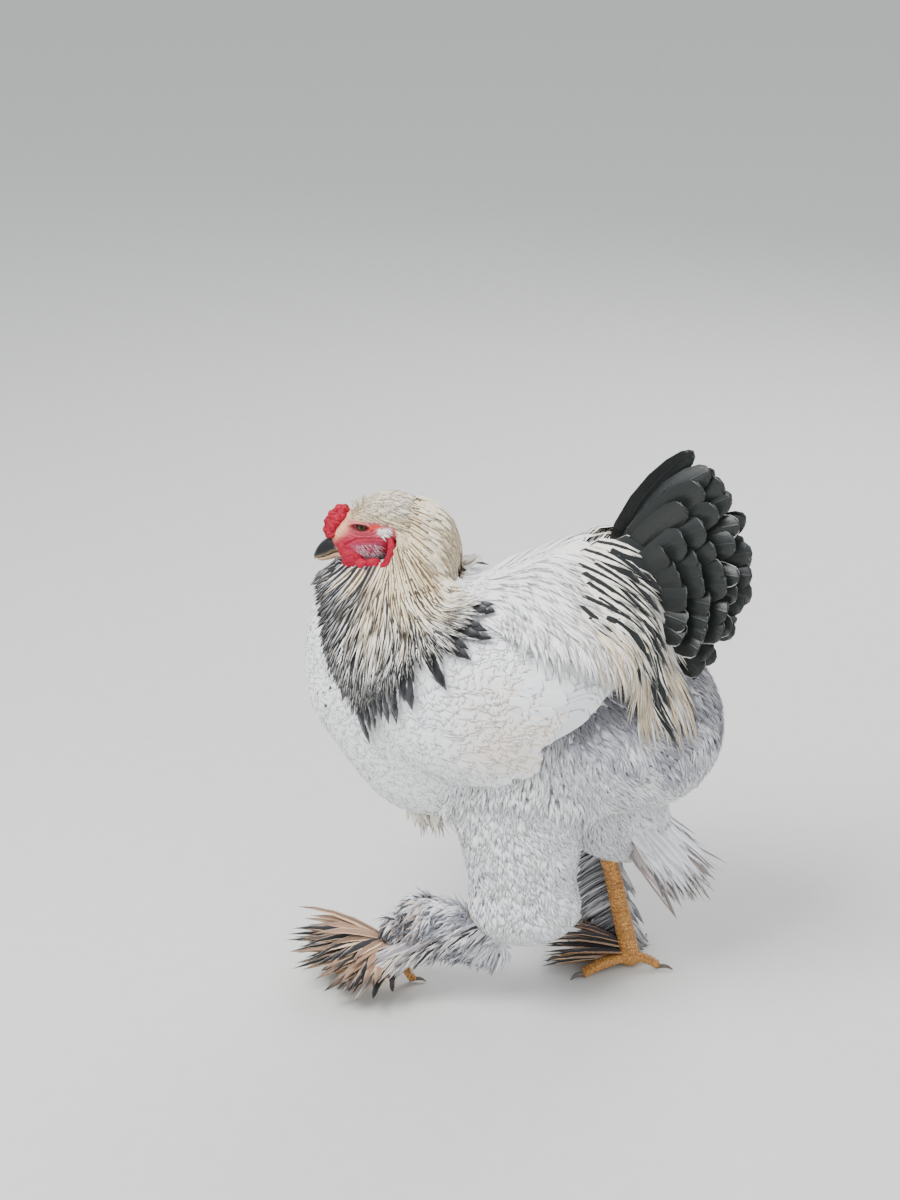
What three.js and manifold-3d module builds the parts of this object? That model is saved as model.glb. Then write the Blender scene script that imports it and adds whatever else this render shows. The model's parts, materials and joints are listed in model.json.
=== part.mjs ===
// A life-size light brahma cock in stride: left foot forward, neck drawn in, tail up.
// Millimetres, +Z up. The bird faces -Y and its left side is +X.
import * as THREE from "three";
import { mergeVertices } from "three/addons/utils/BufferGeometryUtils.js";
import Module from "manifold-3d";

const wasm = await Module();
wasm.setup();

// Driving dimensions
const GAP = 0.35; // air between neighbouring pieces
const SINK = 2.5; // how deep a feather's root sits in what it grows from
const QUILL = 0.8; // thickness of a feather's vane
const LOCK = 2.2; // thickness of a lock of fluff
const PLUMAGE = 10; // depth of the wing's own feathers
const PLY = 1.6; // how much higher every second feather of a row lies than its neighbours
const BREAST_Y = -212; // foremost point of the breast
const STERN_Y = 209; // rearmost point of the fluff
const HALF_WIDTH = 103; // half the width of the trunk, under the wings
const KEEL_Z = 188; // lowest point of the breast
const BACK_Z = 443; // height of the back behind the neck
const CROWN_Z = 527; // height of the top of the head
const TAIL_Z = 440; // height of the middle of the tail's root
const HOCK_Z = 108; // height of the left hock
const SHANK_RADIUS = 8.5;
const TOE_RADIUS = 6;
const EYE_RADIUS = 6.4;

const v = (x, y, z) => new THREE.Vector3(x, y, z);
const radians = THREE.MathUtils.degToRad;
const mix = THREE.MathUtils.lerp;
const X_AXIS = v(1, 0, 0);
const Z_AXIS = v(0, 0, 1);
const SIDES = { left: 1, right: -1 };

// A repeatable spread from -1 to 1, so that like feathers vary a little.
function vary(index) {
  const wave = Math.sin(index * 127.1 + 11.7) * 43758.5453;
  return 2 * (wave - Math.floor(wave)) - 1;
}

// Fields: how far a point lies outside a rounded lobe, and lobes that blend into one another

const lobe = (at, radii, tilt = 0, turn = 0) => ({ at, radii, tilt: radians(tilt), turn: radians(turn) });

function beyondLobe({ at, radii, tilt, turn }, point) {
  const local = point.clone().sub(at).applyAxisAngle(Z_AXIS, -turn).applyAxisAngle(X_AXIS, -tilt);
  const scaled = local.clone().divide(radii);
  const steep = scaled.clone().divide(radii).length();
  const reach = scaled.length();
  return steep < 1e-9 ? -Math.min(radii.x, radii.y, radii.z) : (reach * (reach - 1)) / steep;
}

// The field of several lobes, each melting into the last over the blend's width.
function fieldOf(lobes, blend) {
  return (point) =>
    lobes.map((each) => beyondLobe(each, point)).reduce((a, b) => {
      const near = Math.max(blend - Math.abs(a - b), 0) / blend;
      return Math.min(a, b) - (near * near * blend) / 4;
    });
}

const either = (...fields) => (point) => Math.min(...fields.map((field) => field(point)));

// The same field raised over the feathers that lie on it.
const over = (field) => (point) => field(point) - PLUMAGE;

function slopeOf(field, point) {
  const step = 0.5;
  const along = (axis) => {
    const ahead = point.clone().addScaledVector(axis, step);
    const behind = point.clone().addScaledVector(axis, -step);
    return field(ahead) - field(behind);
  };
  return v(along(v(1, 0, 0)), along(v(0, 1, 0)), along(v(0, 0, 1))).normalize();
}

// Moves a point along the field's slope until it lies at the height asked for.
function settle(field, point, height) {
  const settled = point.clone();
  for (let i = 0; i < 4; i++)
    settled.addScaledVector(slopeOf(field, settled), height - field(settled));
  return settled;
}

// Solids

function solidFrom(geometry) {
  const bare = geometry.clone();
  for (const name of Object.keys(bare.attributes))
    if (name !== "position") bare.deleteAttribute(name);
  const merged = mergeVertices(bare, 1e-3);
  const mesh = new wasm.Mesh({
    numProp: 3,
    vertProperties: new Float32Array(merged.attributes.position.array),
    triVerts: new Uint32Array(merged.index.array),
  });
  return new wasm.Manifold(mesh);
}

const union = (solids) => wasm.Manifold.union(solids);

const largest = (solid) => solid.decompose().reduce((a, b) => (a.volume() > b.volume() ? a : b));

function without(solid, cutters) {
  return cutters.reduce((rest, cutter) => rest.subtract(cutter), solid);
}

// A closed skin over rings of points. The lower half's faces are split as the upper half's are.
function skinOver(rings) {
  const count = rings[0].length;
  const positions = rings.flat().flatMap((point) => point.toArray());
  const index = [];
  for (let i = 0; i < rings.length - 1; i++)
    for (let j = 0; j < count; j++) {
      const k = (j + 1) % count;
      const [a, b] = [i * count + j, i * count + k];
      const [c, d] = [a + count, b + count];
      if (j < count / 2) index.push(a, b, d, a, d, c);
      else index.push(a, b, c, b, d, c);
    }
  const last = (rings.length - 1) * count;
  for (let j = 1; j < count - 1; j++) {
    index.push(0, j + 1, j);
    index.push(last, last + j, last + j + 1);
  }
  const skin = new THREE.BufferGeometry();
  skin.setAttribute("position", new THREE.Float32BufferAttribute(positions, 3));
  skin.setIndex(volumeOf(positions, index) < 0 ? index.reverse() : index);
  return solidFrom(skin);
}

function volumeOf(positions, index) {
  const corner = (i) => v(...positions.slice(3 * i, 3 * i + 3));
  let volume = 0;
  for (let i = 0; i < index.length; i += 3)
    volume += corner(index[i]).dot(corner(index[i + 1]).cross(corner(index[i + 2]))) / 6;
  return volume;
}

// A rounded body: a ball whose points are moved out from its centre to the field's surface.
function bodyOf(field, centre, detail, grow = 0) {
  const ball = mergeVertices(bareBall(detail));
  const spots = ball.attributes.position;
  for (let i = 0; i < spots.count; i++) {
    const way = v(spots.getX(i), spots.getY(i), spots.getZ(i)).normalize();
    let [inner, outer] = [0, 300];
    for (let n = 0; n < 26; n++) {
      const half = (inner + outer) / 2;
      if (field(centre.clone().addScaledVector(way, half)) < grow) inner = half;
      else outer = half;
    }
    const spot = centre.clone().addScaledVector(way, inner);
    spots.setXYZ(i, spot.x, spot.y, spot.z);
  }
  return solidFrom(ball);
}

function bareBall(detail) {
  const ball = new THREE.IcosahedronGeometry(1, detail);
  ball.deleteAttribute("normal");
  ball.deleteAttribute("uv");
  return ball;
}

function ellipsoid(at, radii, tilt = 0, turn = 0, grow = 0, segments = 8) {
  const ball = new THREE.SphereGeometry(1, segments, Math.ceil(segments * 0.6));
  ball.scale(radii.x + grow, radii.y + grow, radii.z + grow);
  ball.rotateX(radians(tilt)).rotateZ(radians(turn)).translate(at.x, at.y, at.z);
  return solidFrom(ball);
}

// A round rod along a path, its radii given for each point as [across, up].
function rod(points, radii, sides, grow = 0, upward = Z_AXIS) {
  const path = points.length > 2 ? new THREE.CatmullRomCurve3(points) : new THREE.LineCurve3(...points);
  const rings = radii.map(([across, up], i) => {
    const t = i / (radii.length - 1);
    const way = path.getTangent(t);
    const side = way.clone().cross(upward).normalize();
    const above = side.clone().cross(way).normalize();
    const end = i === 0 ? -grow : i === radii.length - 1 ? grow : 0;
    const centre = path.getPoint(t).addScaledVector(way, end);
    return Array.from({ length: sides }, (_, j) => {
      const turn = (2 * Math.PI * (j + 0.5)) / sides;
      return centre
        .clone()
        .addScaledVector(side, Math.cos(turn) * (across + grow))
        .addScaledVector(above, Math.sin(turn) * (up + grow));
    });
  });
  return skinOver(rings);
}

// A feather or lock along a spine. faces holds the way its upper side looks at each point of the spine.
function vane({ spine, faces, width, thick = QUILL, shape = BLADE, roll = 0 }, grow = 0) {
  const rings = spine.map((centre, i) => {
    const last = i === spine.length - 1;
    const way = spine[Math.min(i + 1, spine.length - 1)].clone().sub(spine[Math.max(i - 1, 0)]).normalize();
    const side = way.clone().cross(faces[i]).normalize();
    const up = side.clone().cross(way).normalize().applyAxisAngle(way, roll);
    side.applyAxisAngle(way, roll);
    const half = (width * shape[i]) / 2 + grow;
    const deep = (thick * (last ? 0.7 : 1)) / 2 + grow;
    const end = i === 0 ? -grow : last ? grow : 0;
    const spot = (across, lift) =>
      centre
        .clone()
        .addScaledVector(side, across * half)
        .addScaledVector(up, lift * deep)
        .addScaledVector(way, end);
    return [spot(-1, 1), spot(1, 1), spot(1, -1), spot(-1, -1)];
  });
  return skinOver(rings);
}

// Widths along a vane, as shares of its full width, one for each point of its spine
const BLADE = [0.45, 1, 0.9, 0.1]; // narrow feather with a pointed tip
const ROUND = [0.5, 1, 0.9, 0.35]; // broad feather with a round tip
const TUFT = [0.9, 1, 0.65, 0.12]; // lock of fluff

// A spine that comes up through the root's surface in its first short stretch and is then laid over
// the ground, rising towards the tip so that each row clears the roots of the next.
const STRETCHES = [0, 0.16, 0.58, 1];
function layAlong(ground, start, flow, { length, rise, lift = 4, root = ground, sink = SINK }) {
  const spine = [settle(root, start, -sink)];
  const faces = [slopeOf(root, spine[0])];
  for (let i = 1; i < STRETCHES.length; i++) {
    const out = faces[i - 1];
    const way = flow(STRETCHES[i]);
    way.addScaledVector(out, -way.dot(out)).normalize();
    const next = spine[i - 1].clone().addScaledVector(way, length * (STRETCHES[i] - STRETCHES[i - 1]));
    spine.push(settle(ground, next, mix(lift, rise, STRETCHES[i] - STRETCHES[1])));
    faces.push(slopeOf(ground, spine[i]));
  }
  return { spine, faces };
}

// Torso

const TORSO_CENTRE = v(0, 0, 330);
const torsoField = fieldOf(
  [
    lobe(v(0, BREAST_Y + 112, 338), v(92, 112, 100)),
    lobe(v(0, -82, KEEL_Z + 92), v(82, 88, 92)),
    lobe(v(0, 25, 320), v(HALF_WIDTH, 150, BACK_Z - 324), 8),
    lobe(v(0, 80, 388), v(60, 80, 58), 20),
    lobe(v(0, STERN_Y - 94, 300), v(86, 92, 88), -8),
    lobe(v(0, 10, 270), v(82, 106, 74)),
  ],
  30,
);
const torso = (grow = 0) => bodyOf(torsoField, TORSO_CENTRE, 5, grow);

// Neck and its hackle

const NECK_CENTRE = v(0, -116, 432);
const neckField = fieldOf(
  [
    lobe(v(0, -92, 487), v(28, 28, 31)),
    lobe(v(0, -92, 456), v(40, 36, 38)),
    lobe(v(0, -150, 424), v(32, 42, 30)),
    lobe(v(0, -118, 410), v(62, 72, 42)),
    lobe(v(0, -122, 378), v(82, 84, 46), -6),
  ],
  26,
);

// Rows of hackle feathers from the head down; lean is how much higher a row sits at the nape
const HACKLE_ROWS = [
  { z: 490, lean: 4, count: 6, spread: 110, length: 70, width: 18, rise: 12 },
  { z: 452, lean: 10, count: 8, spread: 150, length: 96, width: 21, rise: 15 },
  { z: 412, lean: 20, count: 9, spread: 168, length: 110, width: 25, rise: 14 },
];

function hackle(grow) {
  const ground = either(neckField, headField, torsoField, over(wingField(1)), over(wingField(-1)));
  return HACKLE_ROWS.flatMap(({ z, lean, count, spread, length, width, rise }, row) =>
    Array.from({ length: count }, (_, i) => {
      const turn = radians(spread) * mix(-1, 1, (i + 0.5) / count);
      const out = v(Math.sin(turn), Math.cos(turn), 0);
      const forward = (1 - out.y) / 2; // 0 at the nape, 1 at the throat
      const start = v(0, -108, z + lean * out.y + 2 * vary(i + 20 * row)).addScaledVector(out, 60);
      const flow = () => v(0.25 * out.x, 0.45 * out.y - 0.5 * forward * (1 - forward), -1);
      const throat = THREE.MathUtils.smoothstep(forward, 0.7, 0.98);
      const reach = length * mix(1, 0.55, throat) * (1 + 0.06 * vary(i + 7 * row));
      const high = rise * mix(0.55, 1, forward);
      const ply = PLY * (i % 2);
      const laid = layAlong(ground, start, flow, {
        length: reach,
        lift: 4 + ply,
        rise: high + ply,
        root: neckField,
      });
      return vane({ ...laid, width: width * (1 + 0.08 * vary(i)) }, grow);
    }),
  );
}

const neckCore = (grow = 0) => bodyOf(neckField, NECK_CENTRE, 3, grow);
const neck = (grow = 0) => union([neckCore(grow), ...hackle(grow)]);

// Head

const HEAD_CENTRE = v(0, -142, 494);
const EYE = v(15.4, -149, 497);
const headField = fieldOf(
  [
    lobe(v(0, -126, CROWN_Z - 29), v(26, 35, 29), 12),
    lobe(v(0, -153, 488), v(19, 27, 22), 30),
    lobe(v(0, -167, 477), v(12.5, 17, 15), 40),
    lobe(v(16, -147, 506), v(6, 15, 5), 25, -14),
    lobe(v(-16, -147, 506), v(6, 15, 5), 25, 14),
    lobe(v(0, -146, 474), v(17, 26, 14), 12),
  ],
  9,
);

// The lids stand proud of the face as a ring with a slit for the eye.
function lids(side, grow) {
  return [1, -1].map((over) => {
    const points = [-1, -0.4, 0.4, 1].map((t) => {
      const spot = v(side * 40, EYE.y + 9 * t, EYE.z + 3.5 * t + over * 6.2 * Math.sqrt(1.06 - t * t));
      return settle(headField, spot, 0.2);
    });
    return rod(points, [[1.3, 1.3], [1.9, 1.9], [1.9, 1.9], [1.3, 1.3]], 5, grow, X_AXIS);
  });
}

function head(grow = 0) {
  const skull = union([bodyOf(headField, HEAD_CENTRE, 4, grow), ...lids(1, grow), ...lids(-1, grow)]);
  const earCups = [1, -1].map((side) => ellipsoid(v(side * 27, -121, 500), v(4, 4.5, 3.5), 0, 0, 0, 6));
  return grow ? skull : without(skull, [eye(1, GAP), eye(-1, GAP), ...earCups]);
}

const eye = (side, grow = 0) =>
  ellipsoid(v(side * EYE.x, EYE.y, EYE.z), v(EYE_RADIUS, EYE_RADIUS, EYE_RADIUS), 0, 0, grow, 10);

// Beak, parted along the line of the mouth

const BEAK_TIP = v(0, -201, 456);
const upperBeak = (grow = 0) =>
  rod(
    [v(0, -170, 474), v(0, -183, 473), v(0, -193, 468), v(0, -199, 461), BEAK_TIP],
    [[9, 8.5], [8.4, 8], [6.4, 6.6], [3.8, 4.4], [0.8, 1]],
    8,
    grow,
  );
const lowerBeak = (grow = 0) =>
  rod([v(0, -168, 463), v(0, -182, 461.5), v(0, -193, 458)], [[8, 4.5], [6.6, 4], [2, 1.6]], 8, grow);

function nostrils() {
  return [1, -1].map((side) => ellipsoid(v(side * 8.2, -184, 475.5), v(1.6, 2.6, 1.2), 25));
}

// Pea comb: three rows of bulbs, the middle one the highest

const COMB_ROWS = [
  { side: 0, bulbs: 5, radius: 6.6, proud: 6.5 },
  { side: 1, bulbs: 3, radius: 5.6, proud: 3 },
  { side: -1, bulbs: 3, radius: 5.6, proud: 3 },
];

function comb(grow = 0) {
  const bulbs = COMB_ROWS.flatMap(({ side, bulbs: count, radius, proud }) =>
    Array.from({ length: count }, (_, i) => {
      const t = i / (count - 1);
      const along = v(side * mix(5.5, 8.5, Math.sin(t * Math.PI)), mix(-186, -163, t), mix(484, 512, t));
      const arch = proud * Math.sin(Math.PI * mix(0.12, 0.82, t));
      const lifted = along.add(v(0, -0.72, 0.69).multiplyScalar(arch));
      const size = radius * (0.78 + 0.3 * Math.sin(Math.PI * mix(0.15, 0.85, t)));
      return ellipsoid(lifted, v(size * 0.8, size, size), 40, 0, grow, 6);
    }),
  );
  const base = ellipsoid(v(0, -177, 496), v(10, 19, 8), 50, 0, grow, 8);
  return union([base, ...bulbs]);
}

// Wattles and ear lobes

const wattle = (side, grow = 0) =>
  union([
    ellipsoid(v(side * 13, -150, 460), v(5, 19, 15), 8, side * 10, grow, 8),
    ellipsoid(v(side * 11.5, -166, 466), v(4.5, 9, 8), 20, side * 16, grow, 6),
    ellipsoid(v(side * 15.5, -134, 459), v(4.5, 11, 10), 0, side * 6, grow, 6),
  ]);
const earLobe = (side, grow = 0) =>
  union([
    ellipsoid(v(side * 25, -120, 486), v(4.5, 7, 8.5), 10, 0, grow, 6),
    ellipsoid(v(side * 26, -123, 468), v(4.8, 6.5, 17), -8, 0, grow, 8),
  ]);

// Wings, folded on the flanks

const wingLobes = (side) => [
  lobe(v(side * 92, -48, 352), v(24, 56, 58), 24, side * 14),
  lobe(v(side * 96, 10, 358), v(22, 82, 46), 30, side * -4),
  lobe(v(side * 84, 66, 378), v(18, 56, 30), 36, side * -12),
];
const wingFields = { 1: fieldOf(wingLobes(1), 26), [-1]: fieldOf(wingLobes(-1), 26) };
const wingField = (side) => wingFields[side];

// Rows of wing feathers: where a row's roots start and end (y, z), and which way its feathers point
const WING_TIERS = [
  { count: 4, from: [2, 316], to: [36, 380], length: 96, width: 18, aim: [32, 22], lift: 4, rise: 5 },
  { count: 3, from: [-30, 312], to: [8, 378], length: 62, width: 28, aim: [20, 8], lift: 3.4, rise: 8 },
];

function wing(side, grow = 0) {
  const field = either(wingField(side), torsoField);
  const feathers = WING_TIERS.flatMap(({ count, from, to, length, width, aim, lift, rise }, tier) =>
    Array.from({ length: count }, (_, i) => {
      const t = i / (count - 1);
      const start = v(side * 120, mix(from[0], to[0], t), mix(from[1], to[1], t));
      const slant = radians(mix(aim[0], aim[1], t));
      const flow = () => v(0, Math.cos(slant), Math.sin(slant));
      const reach = length * (1 + 0.06 * vary(i + 5 * tier));
      const laid = layAlong(field, start, flow, { length: reach, lift, rise });
      return vane({ ...laid, width, shape: ROUND, roll: side * radians(-7) }, grow);
    }),
  );
  const core = bodyOf(wingField(side), v(side * 94, -8, 354), 3, grow);
  return union([core, ...feathers]);
}

// Tail: main feathers and sickles, with two tiers of coverts outside them

const TAIL_ROOT = v(0, 88, TAIL_Z);
const TAIL_TIERS = [
  { count: 5, from: 72, to: -8, length: [170, 134], width: 36, out: [4, 8], spread: 0.12, bend: -0.7 },
  { count: 4, from: 68, to: -36, length: [148, 120], width: 36, out: [12, 16], spread: 0.24, bend: -0.6 },
  { count: 4, from: 56, to: -44, length: [124, 108], width: 36, out: [20, 22], spread: 0.36, bend: -0.3 },
  { count: 3, from: 42, to: -26, length: [96, 90], width: 34, out: [26, 28], spread: 0.5, bend: -0.2 },
];
const STRAIGHT = -0.1; // bend of a tier's lowest feather, where its highest has the tier's own

const rumpField = fieldOf([lobe(TAIL_ROOT.clone().add(v(0, 14, 2)), v(38, 46, 52))], 20);

function tailSpine(side, rise, bend, reach, across, spread) {
  const steps = 3;
  const root = v(side * across, 30 * Math.cos(rise), 30 * Math.sin(rise));
  const spine = [TAIL_ROOT.clone().add(root)];
  for (let n = 1; n <= steps; n++) {
    const turn = rise + (bend * (n - 0.5)) / steps;
    const step = v((side * spread * (n + 1)) / steps, Math.cos(turn), Math.sin(turn));
    spine.push(spine[n - 1].clone().addScaledVector(step, (reach - 30) / steps));
  }
  return spine;
}

function tail(grow = 0) {
  const feathers = Object.values(SIDES).flatMap((side) =>
    TAIL_TIERS.flatMap(({ count, from, to, length, width, out, spread, bend }, tier) =>
      Array.from({ length: count }, (_, i) => {
        const t = i / (count - 1);
        const rise = radians(mix(from, to, t) + 2 * vary(i + 9 * tier));
        const reach = mix(length[0], length[1], t) * (1 + 0.03 * vary(i + 3 * tier));
        const across = mix(out[0], out[1], Math.sqrt(t));
        const wide = spread * mix(0.5, 1, t);
        const spine = tailSpine(side, rise, mix(bend, STRAIGHT, t), reach, across, wide);
        const faces = spine.map(() => v(side, 0, 0.15));
        return vane({ spine, faces, width, thick: 1, shape: ROUND, roll: side * radians(8) }, grow);
      }),
    ),
  );
  return union([bodyOf(rumpField, TAIL_ROOT, 2, grow), ...feathers]);
}

// Saddle: a cushion over the rump whose long feathers fall over the flanks

const saddleField = fieldOf(
  [lobe(v(0, 36, 409), v(66, 94, 54), 27), lobe(v(0, 78, 430), v(48, 48, 56), 20)],
  24,
);
const SADDLE_ROWS = [
  { y: -14, count: 3, out: [14, 58], length: 96, width: 17, rise: 13 },
  { y: 26, count: 4, out: [12, 78], length: 112, width: 17, rise: 14 },
  { y: 60, count: 4, out: [14, 86], length: 140, width: 17, rise: 14 },
  { y: 88, count: 3, out: [44, 88], length: 146, width: 16, rise: 13 },
];

function saddle(grow = 0) {
  const ground = either(saddleField, rumpField, torsoField, over(wingField(1)), over(wingField(-1)));
  const feathers = Object.values(SIDES).flatMap((side) =>
    SADDLE_ROWS.flatMap(({ y, count, out, length, width, rise }, row) =>
      Array.from({ length: count }, (_, i) => {
        const t = i / (count - 1);
        const turn = radians(mix(out[0], out[1], t));
        const high = 400 + 0.4 * y + 60 * Math.cos(turn);
        const start = v(side * 70 * Math.sin(turn), y - 14 * t + 3 * vary(i + row), high);
        const flow = (s) =>
          v(side * mix(0.6, 0.1, s), mix(1, 0.85 - 0.6 * t, s), mix(-0.1, -0.8 - 0.4 * t, s));
        const reach = length * mix(0.86, 1.04, t) * (1 + 0.06 * vary(3 * i + row));
        const ply = PLY * (i % 2);
        const laid = layAlong(ground, start, flow, {
          length: reach,
          lift: 4 + ply,
          rise: rise + ply,
          root: saddleField,
        });
        return vane({ ...laid, width }, grow);
      }),
    ),
  );
  return union([bodyOf(saddleField, v(0, 66, 412), 3, grow), ...feathers]);
}

// Legs: where the joints stand, the size of the fluff at the hock, and the ways of the shank's feathers

const LEGS = {
  left: {
    hip: v(56, 10, 234),
    hock: v(60, 4, HOCK_Z),
    ball: v(38, -124, 46),
    heading: radians(-6),
    bulb: v(60, 20, 119),
    bulbRadii: v(42, 56, 42),
    trail: 0,
    stockings: [v(0.6, -0.1, -0.5), v(0.5, -0.75, 0.15)],
  },
  right: {
    hip: v(-52, 62, 226),
    hock: v(-42, 88, 152),
    ball: v(-34, 120, 20),
    heading: radians(6),
    bulb: v(-50, 112, 156),
    bulbRadii: v(34, 46, 38),
    trail: 92,
    stockings: [v(-0.55, 0.45, -0.55), v(-0.5, -0.55, -0.5)],
  },
};

function thighField(name) {
  const { hip, hock, bulb, bulbRadii } = LEGS[name];
  const middle = hip.clone().lerp(bulb, 0.5);
  return fieldOf(
    [
      lobe(hip, v(44, 72, 58)),
      lobe(middle, v(44, 58, 50)),
      lobe(bulb, bulbRadii),
      lobe(hock.clone().add(v(0, 0, 8)), v(24, 28, 24)),
    ],
    26,
  );
}

const FLUFF = { rows: 2, count: 4, width: 34, length: [26, 46] };
const HOCK_FEATHERS = { count: 3, spread: 90, width: 28 };

// Stiffer feathers that trail back and down from behind the hock.
function hockFeathers(name, field, grow) {
  const { bulb, trail } = LEGS[name];
  const { count, spread, width } = HOCK_FEATHERS;
  return Array.from({ length: trail ? count : 0 }, (_, i) => {
    const turn = radians(spread * (i / (count - 1) - 0.5));
    const start = bulb.clone().add(v(70 * Math.sin(turn), 70 * Math.cos(turn), -6 + 8 * (i % 2)));
    const root = settle(field, start, -4);
    const way = v(0.35 * Math.sin(turn), 0.62, -0.72).normalize();
    const length = trail * (1 + 0.12 * vary(i));
    const spine = STRETCHES.map((s) => root.clone().addScaledVector(way, length * s));
    const faces = spine.map(() => v(Math.sin(turn), 0.8, 0.6));
    return vane({ spine, faces, width }, grow);
  });
}

function thigh(name, grow = 0) {
  const field = thighField(name);
  const { bulb, hip } = LEGS[name];
  const middle = hip.clone().lerp(bulb, 0.55);
  const locks = Array.from({ length: FLUFF.rows * FLUFF.count }, (_, i) => {
    const row = Math.floor(i / FLUFF.count);
    const turn = (2 * Math.PI * (i + 0.5 * row)) / FLUFF.count;
    const start = bulb.clone().add(v(60 * Math.sin(turn), 60 * Math.cos(turn), row ? 34 : 4));
    const behind = 0.5 + 0.5 * Math.cos(turn);
    const flow = () => v(0, 0.5 * behind, -1);
    const length = mix(...FLUFF.length, behind) * (1 + 0.15 * vary(i + 27 * row));
    const laid = layAlong(field, start, flow, { length, rise: 5 + 2 * row, sink: 4 });
    return vane({ ...laid, width: FLUFF.width, thick: LOCK, shape: TUFT }, grow);
  });
  return union([bodyOf(field, middle, 3, grow), ...locks, ...hockFeathers(name, field, grow)]);
}

// The shank runs from the hock to the ball of the foot, with scutes down its front.
function shankRod(name, grow = 0) {
  const { hock, ball } = LEGS[name];
  const way = ball.clone().sub(hock).normalize();
  const top = hock.clone().addScaledVector(way, -4);
  const end = ball.clone().addScaledVector(way, -4);
  const r = SHANK_RADIUS;
  return rod([top, end], [[r + 3, r + 3], [r, r + 0.5], [r, r], [r + 2, r + 1]], 8, grow, X_AXIS);
}

function shank(name, grow = 0) {
  const { hock, ball } = LEGS[name];
  const way = ball.clone().sub(hock).normalize();
  const front = way.clone().cross(X_AXIS).normalize();
  if (front.y > 0) front.negate();
  const scutes = Array.from({ length: 4 }, (_, i) => {
    const at = hock.clone().lerp(ball, 0.38 + 0.14 * i).addScaledVector(front, SHANK_RADIUS - 1.5);
    return rod([at, at.clone().addScaledVector(way, 9)], [[4.2, 1.9], [5.4, 2.7]], 5, grow, front);
  });
  return union([shankRod(name, grow), ...scutes, ...stockings(name, grow)]);
}

// Rows of feathers down the outer side of the shank, each along its own way and sagging to the tip.
const STOCKING = { count: 3, width: 26, length: [48, 66], sag: 0.32 };

function stockings(name, grow) {
  const side = SIDES[name];
  const { hock, ball, stockings: ways } = LEGS[name];
  return ways.flatMap((out, row) =>
    Array.from({ length: STOCKING.count }, (_, i) => {
      const t = 0.3 + (0.62 * (i + 0.5 * row)) / STOCKING.count;
      const root = hock.clone().lerp(ball, t).add(v(side * (SHANK_RADIUS - 3), 0, 0));
      const length = mix(...STOCKING.length, t) * (1 + 0.1 * vary(i + 6 * row));
      const spine = BLADE.map((_, n) => {
        const s = n / (BLADE.length - 1);
        const spot = root.clone().addScaledVector(out, length * s);
        return spot.setZ(Math.max(spot.z - STOCKING.sag * length * s * s, 4 + 4 * row + i));
      });
      const faces = spine.map(() => v(side, 0, 0.5));
      return vane({ spine, faces, width: STOCKING.width }, grow);
    }),
  );
}

// Toes, named from the inside of the foot outwards, with the hind toe last
const TOES = {
  inner: { turn: 30, length: 56, radius: TOE_RADIUS * 0.92 },
  middle: { turn: 0, length: 72, radius: TOE_RADIUS },
  outer: { turn: -32, length: 54, radius: TOE_RADIUS * 0.9 },
  hind: { turn: 168, length: 32, radius: TOE_RADIUS * 0.75 },
};
const CLAW_LENGTH = 15;

function toeWay(name, toe) {
  const turn = LEGS[name].heading - SIDES[name] * radians(TOES[toe].turn);
  return v(Math.sin(turn), -Math.cos(turn), 0);
}

// A toe keeps its length on a raised ball by standing more steeply.
function toeEnd(name, toe) {
  const { ball } = LEGS[name];
  const { length, radius } = TOES[toe];
  const drop = ball.z - 20;
  const reach = Math.max(length - drop * 0.5, 24);
  return v(ball.x, ball.y, radius * 0.66).addScaledVector(toeWay(name, toe), reach);
}

function toeRod(name, toe, grow) {
  const { ball } = LEGS[name];
  const { radius } = TOES[toe];
  const way = toeWay(name, toe);
  const end = toeEnd(name, toe);
  const root = ball.clone().addScaledVector(way, 1).add(v(0, 0, -9));
  const knuckle = root.clone().lerp(end, 0.5).add(v(0, 0, 3));
  const pads = [1.35, 1, 1.12, 0.9, 0.8].map((share) => [radius * share, radius * share]);
  return rod([root, knuckle, end], pads, 7, grow);
}

function claw(name, toe, grow = 0) {
  const way = toeWay(name, toe);
  const { radius } = TOES[toe];
  const start = toeEnd(name, toe).addScaledVector(way, GAP + 0.1);
  const bend = start.clone().addScaledVector(way, CLAW_LENGTH * 0.55).add(v(0, 0, 1.2));
  const tip = start.clone().addScaledVector(way, CLAW_LENGTH).setZ(0.8);
  const sizes = [[radius * 0.55, radius * 0.6], [radius * 0.42, radius * 0.5], [0.6, 0.9]];
  return rod([start, bend, tip], sizes, 5, grow);
}

// The fan of long feathers on the outer and middle toes, in two tiers
const FOOT_FANS = [
  { count: 6, from: -10, to: 104, length: [112, 70], width: 22, high: 2, lift: [0.1, 0.05] },
  { count: 4, from: 4, to: 76, length: [98, 60], width: 20, high: 11, lift: [0.5, 0.2] },
];

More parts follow.
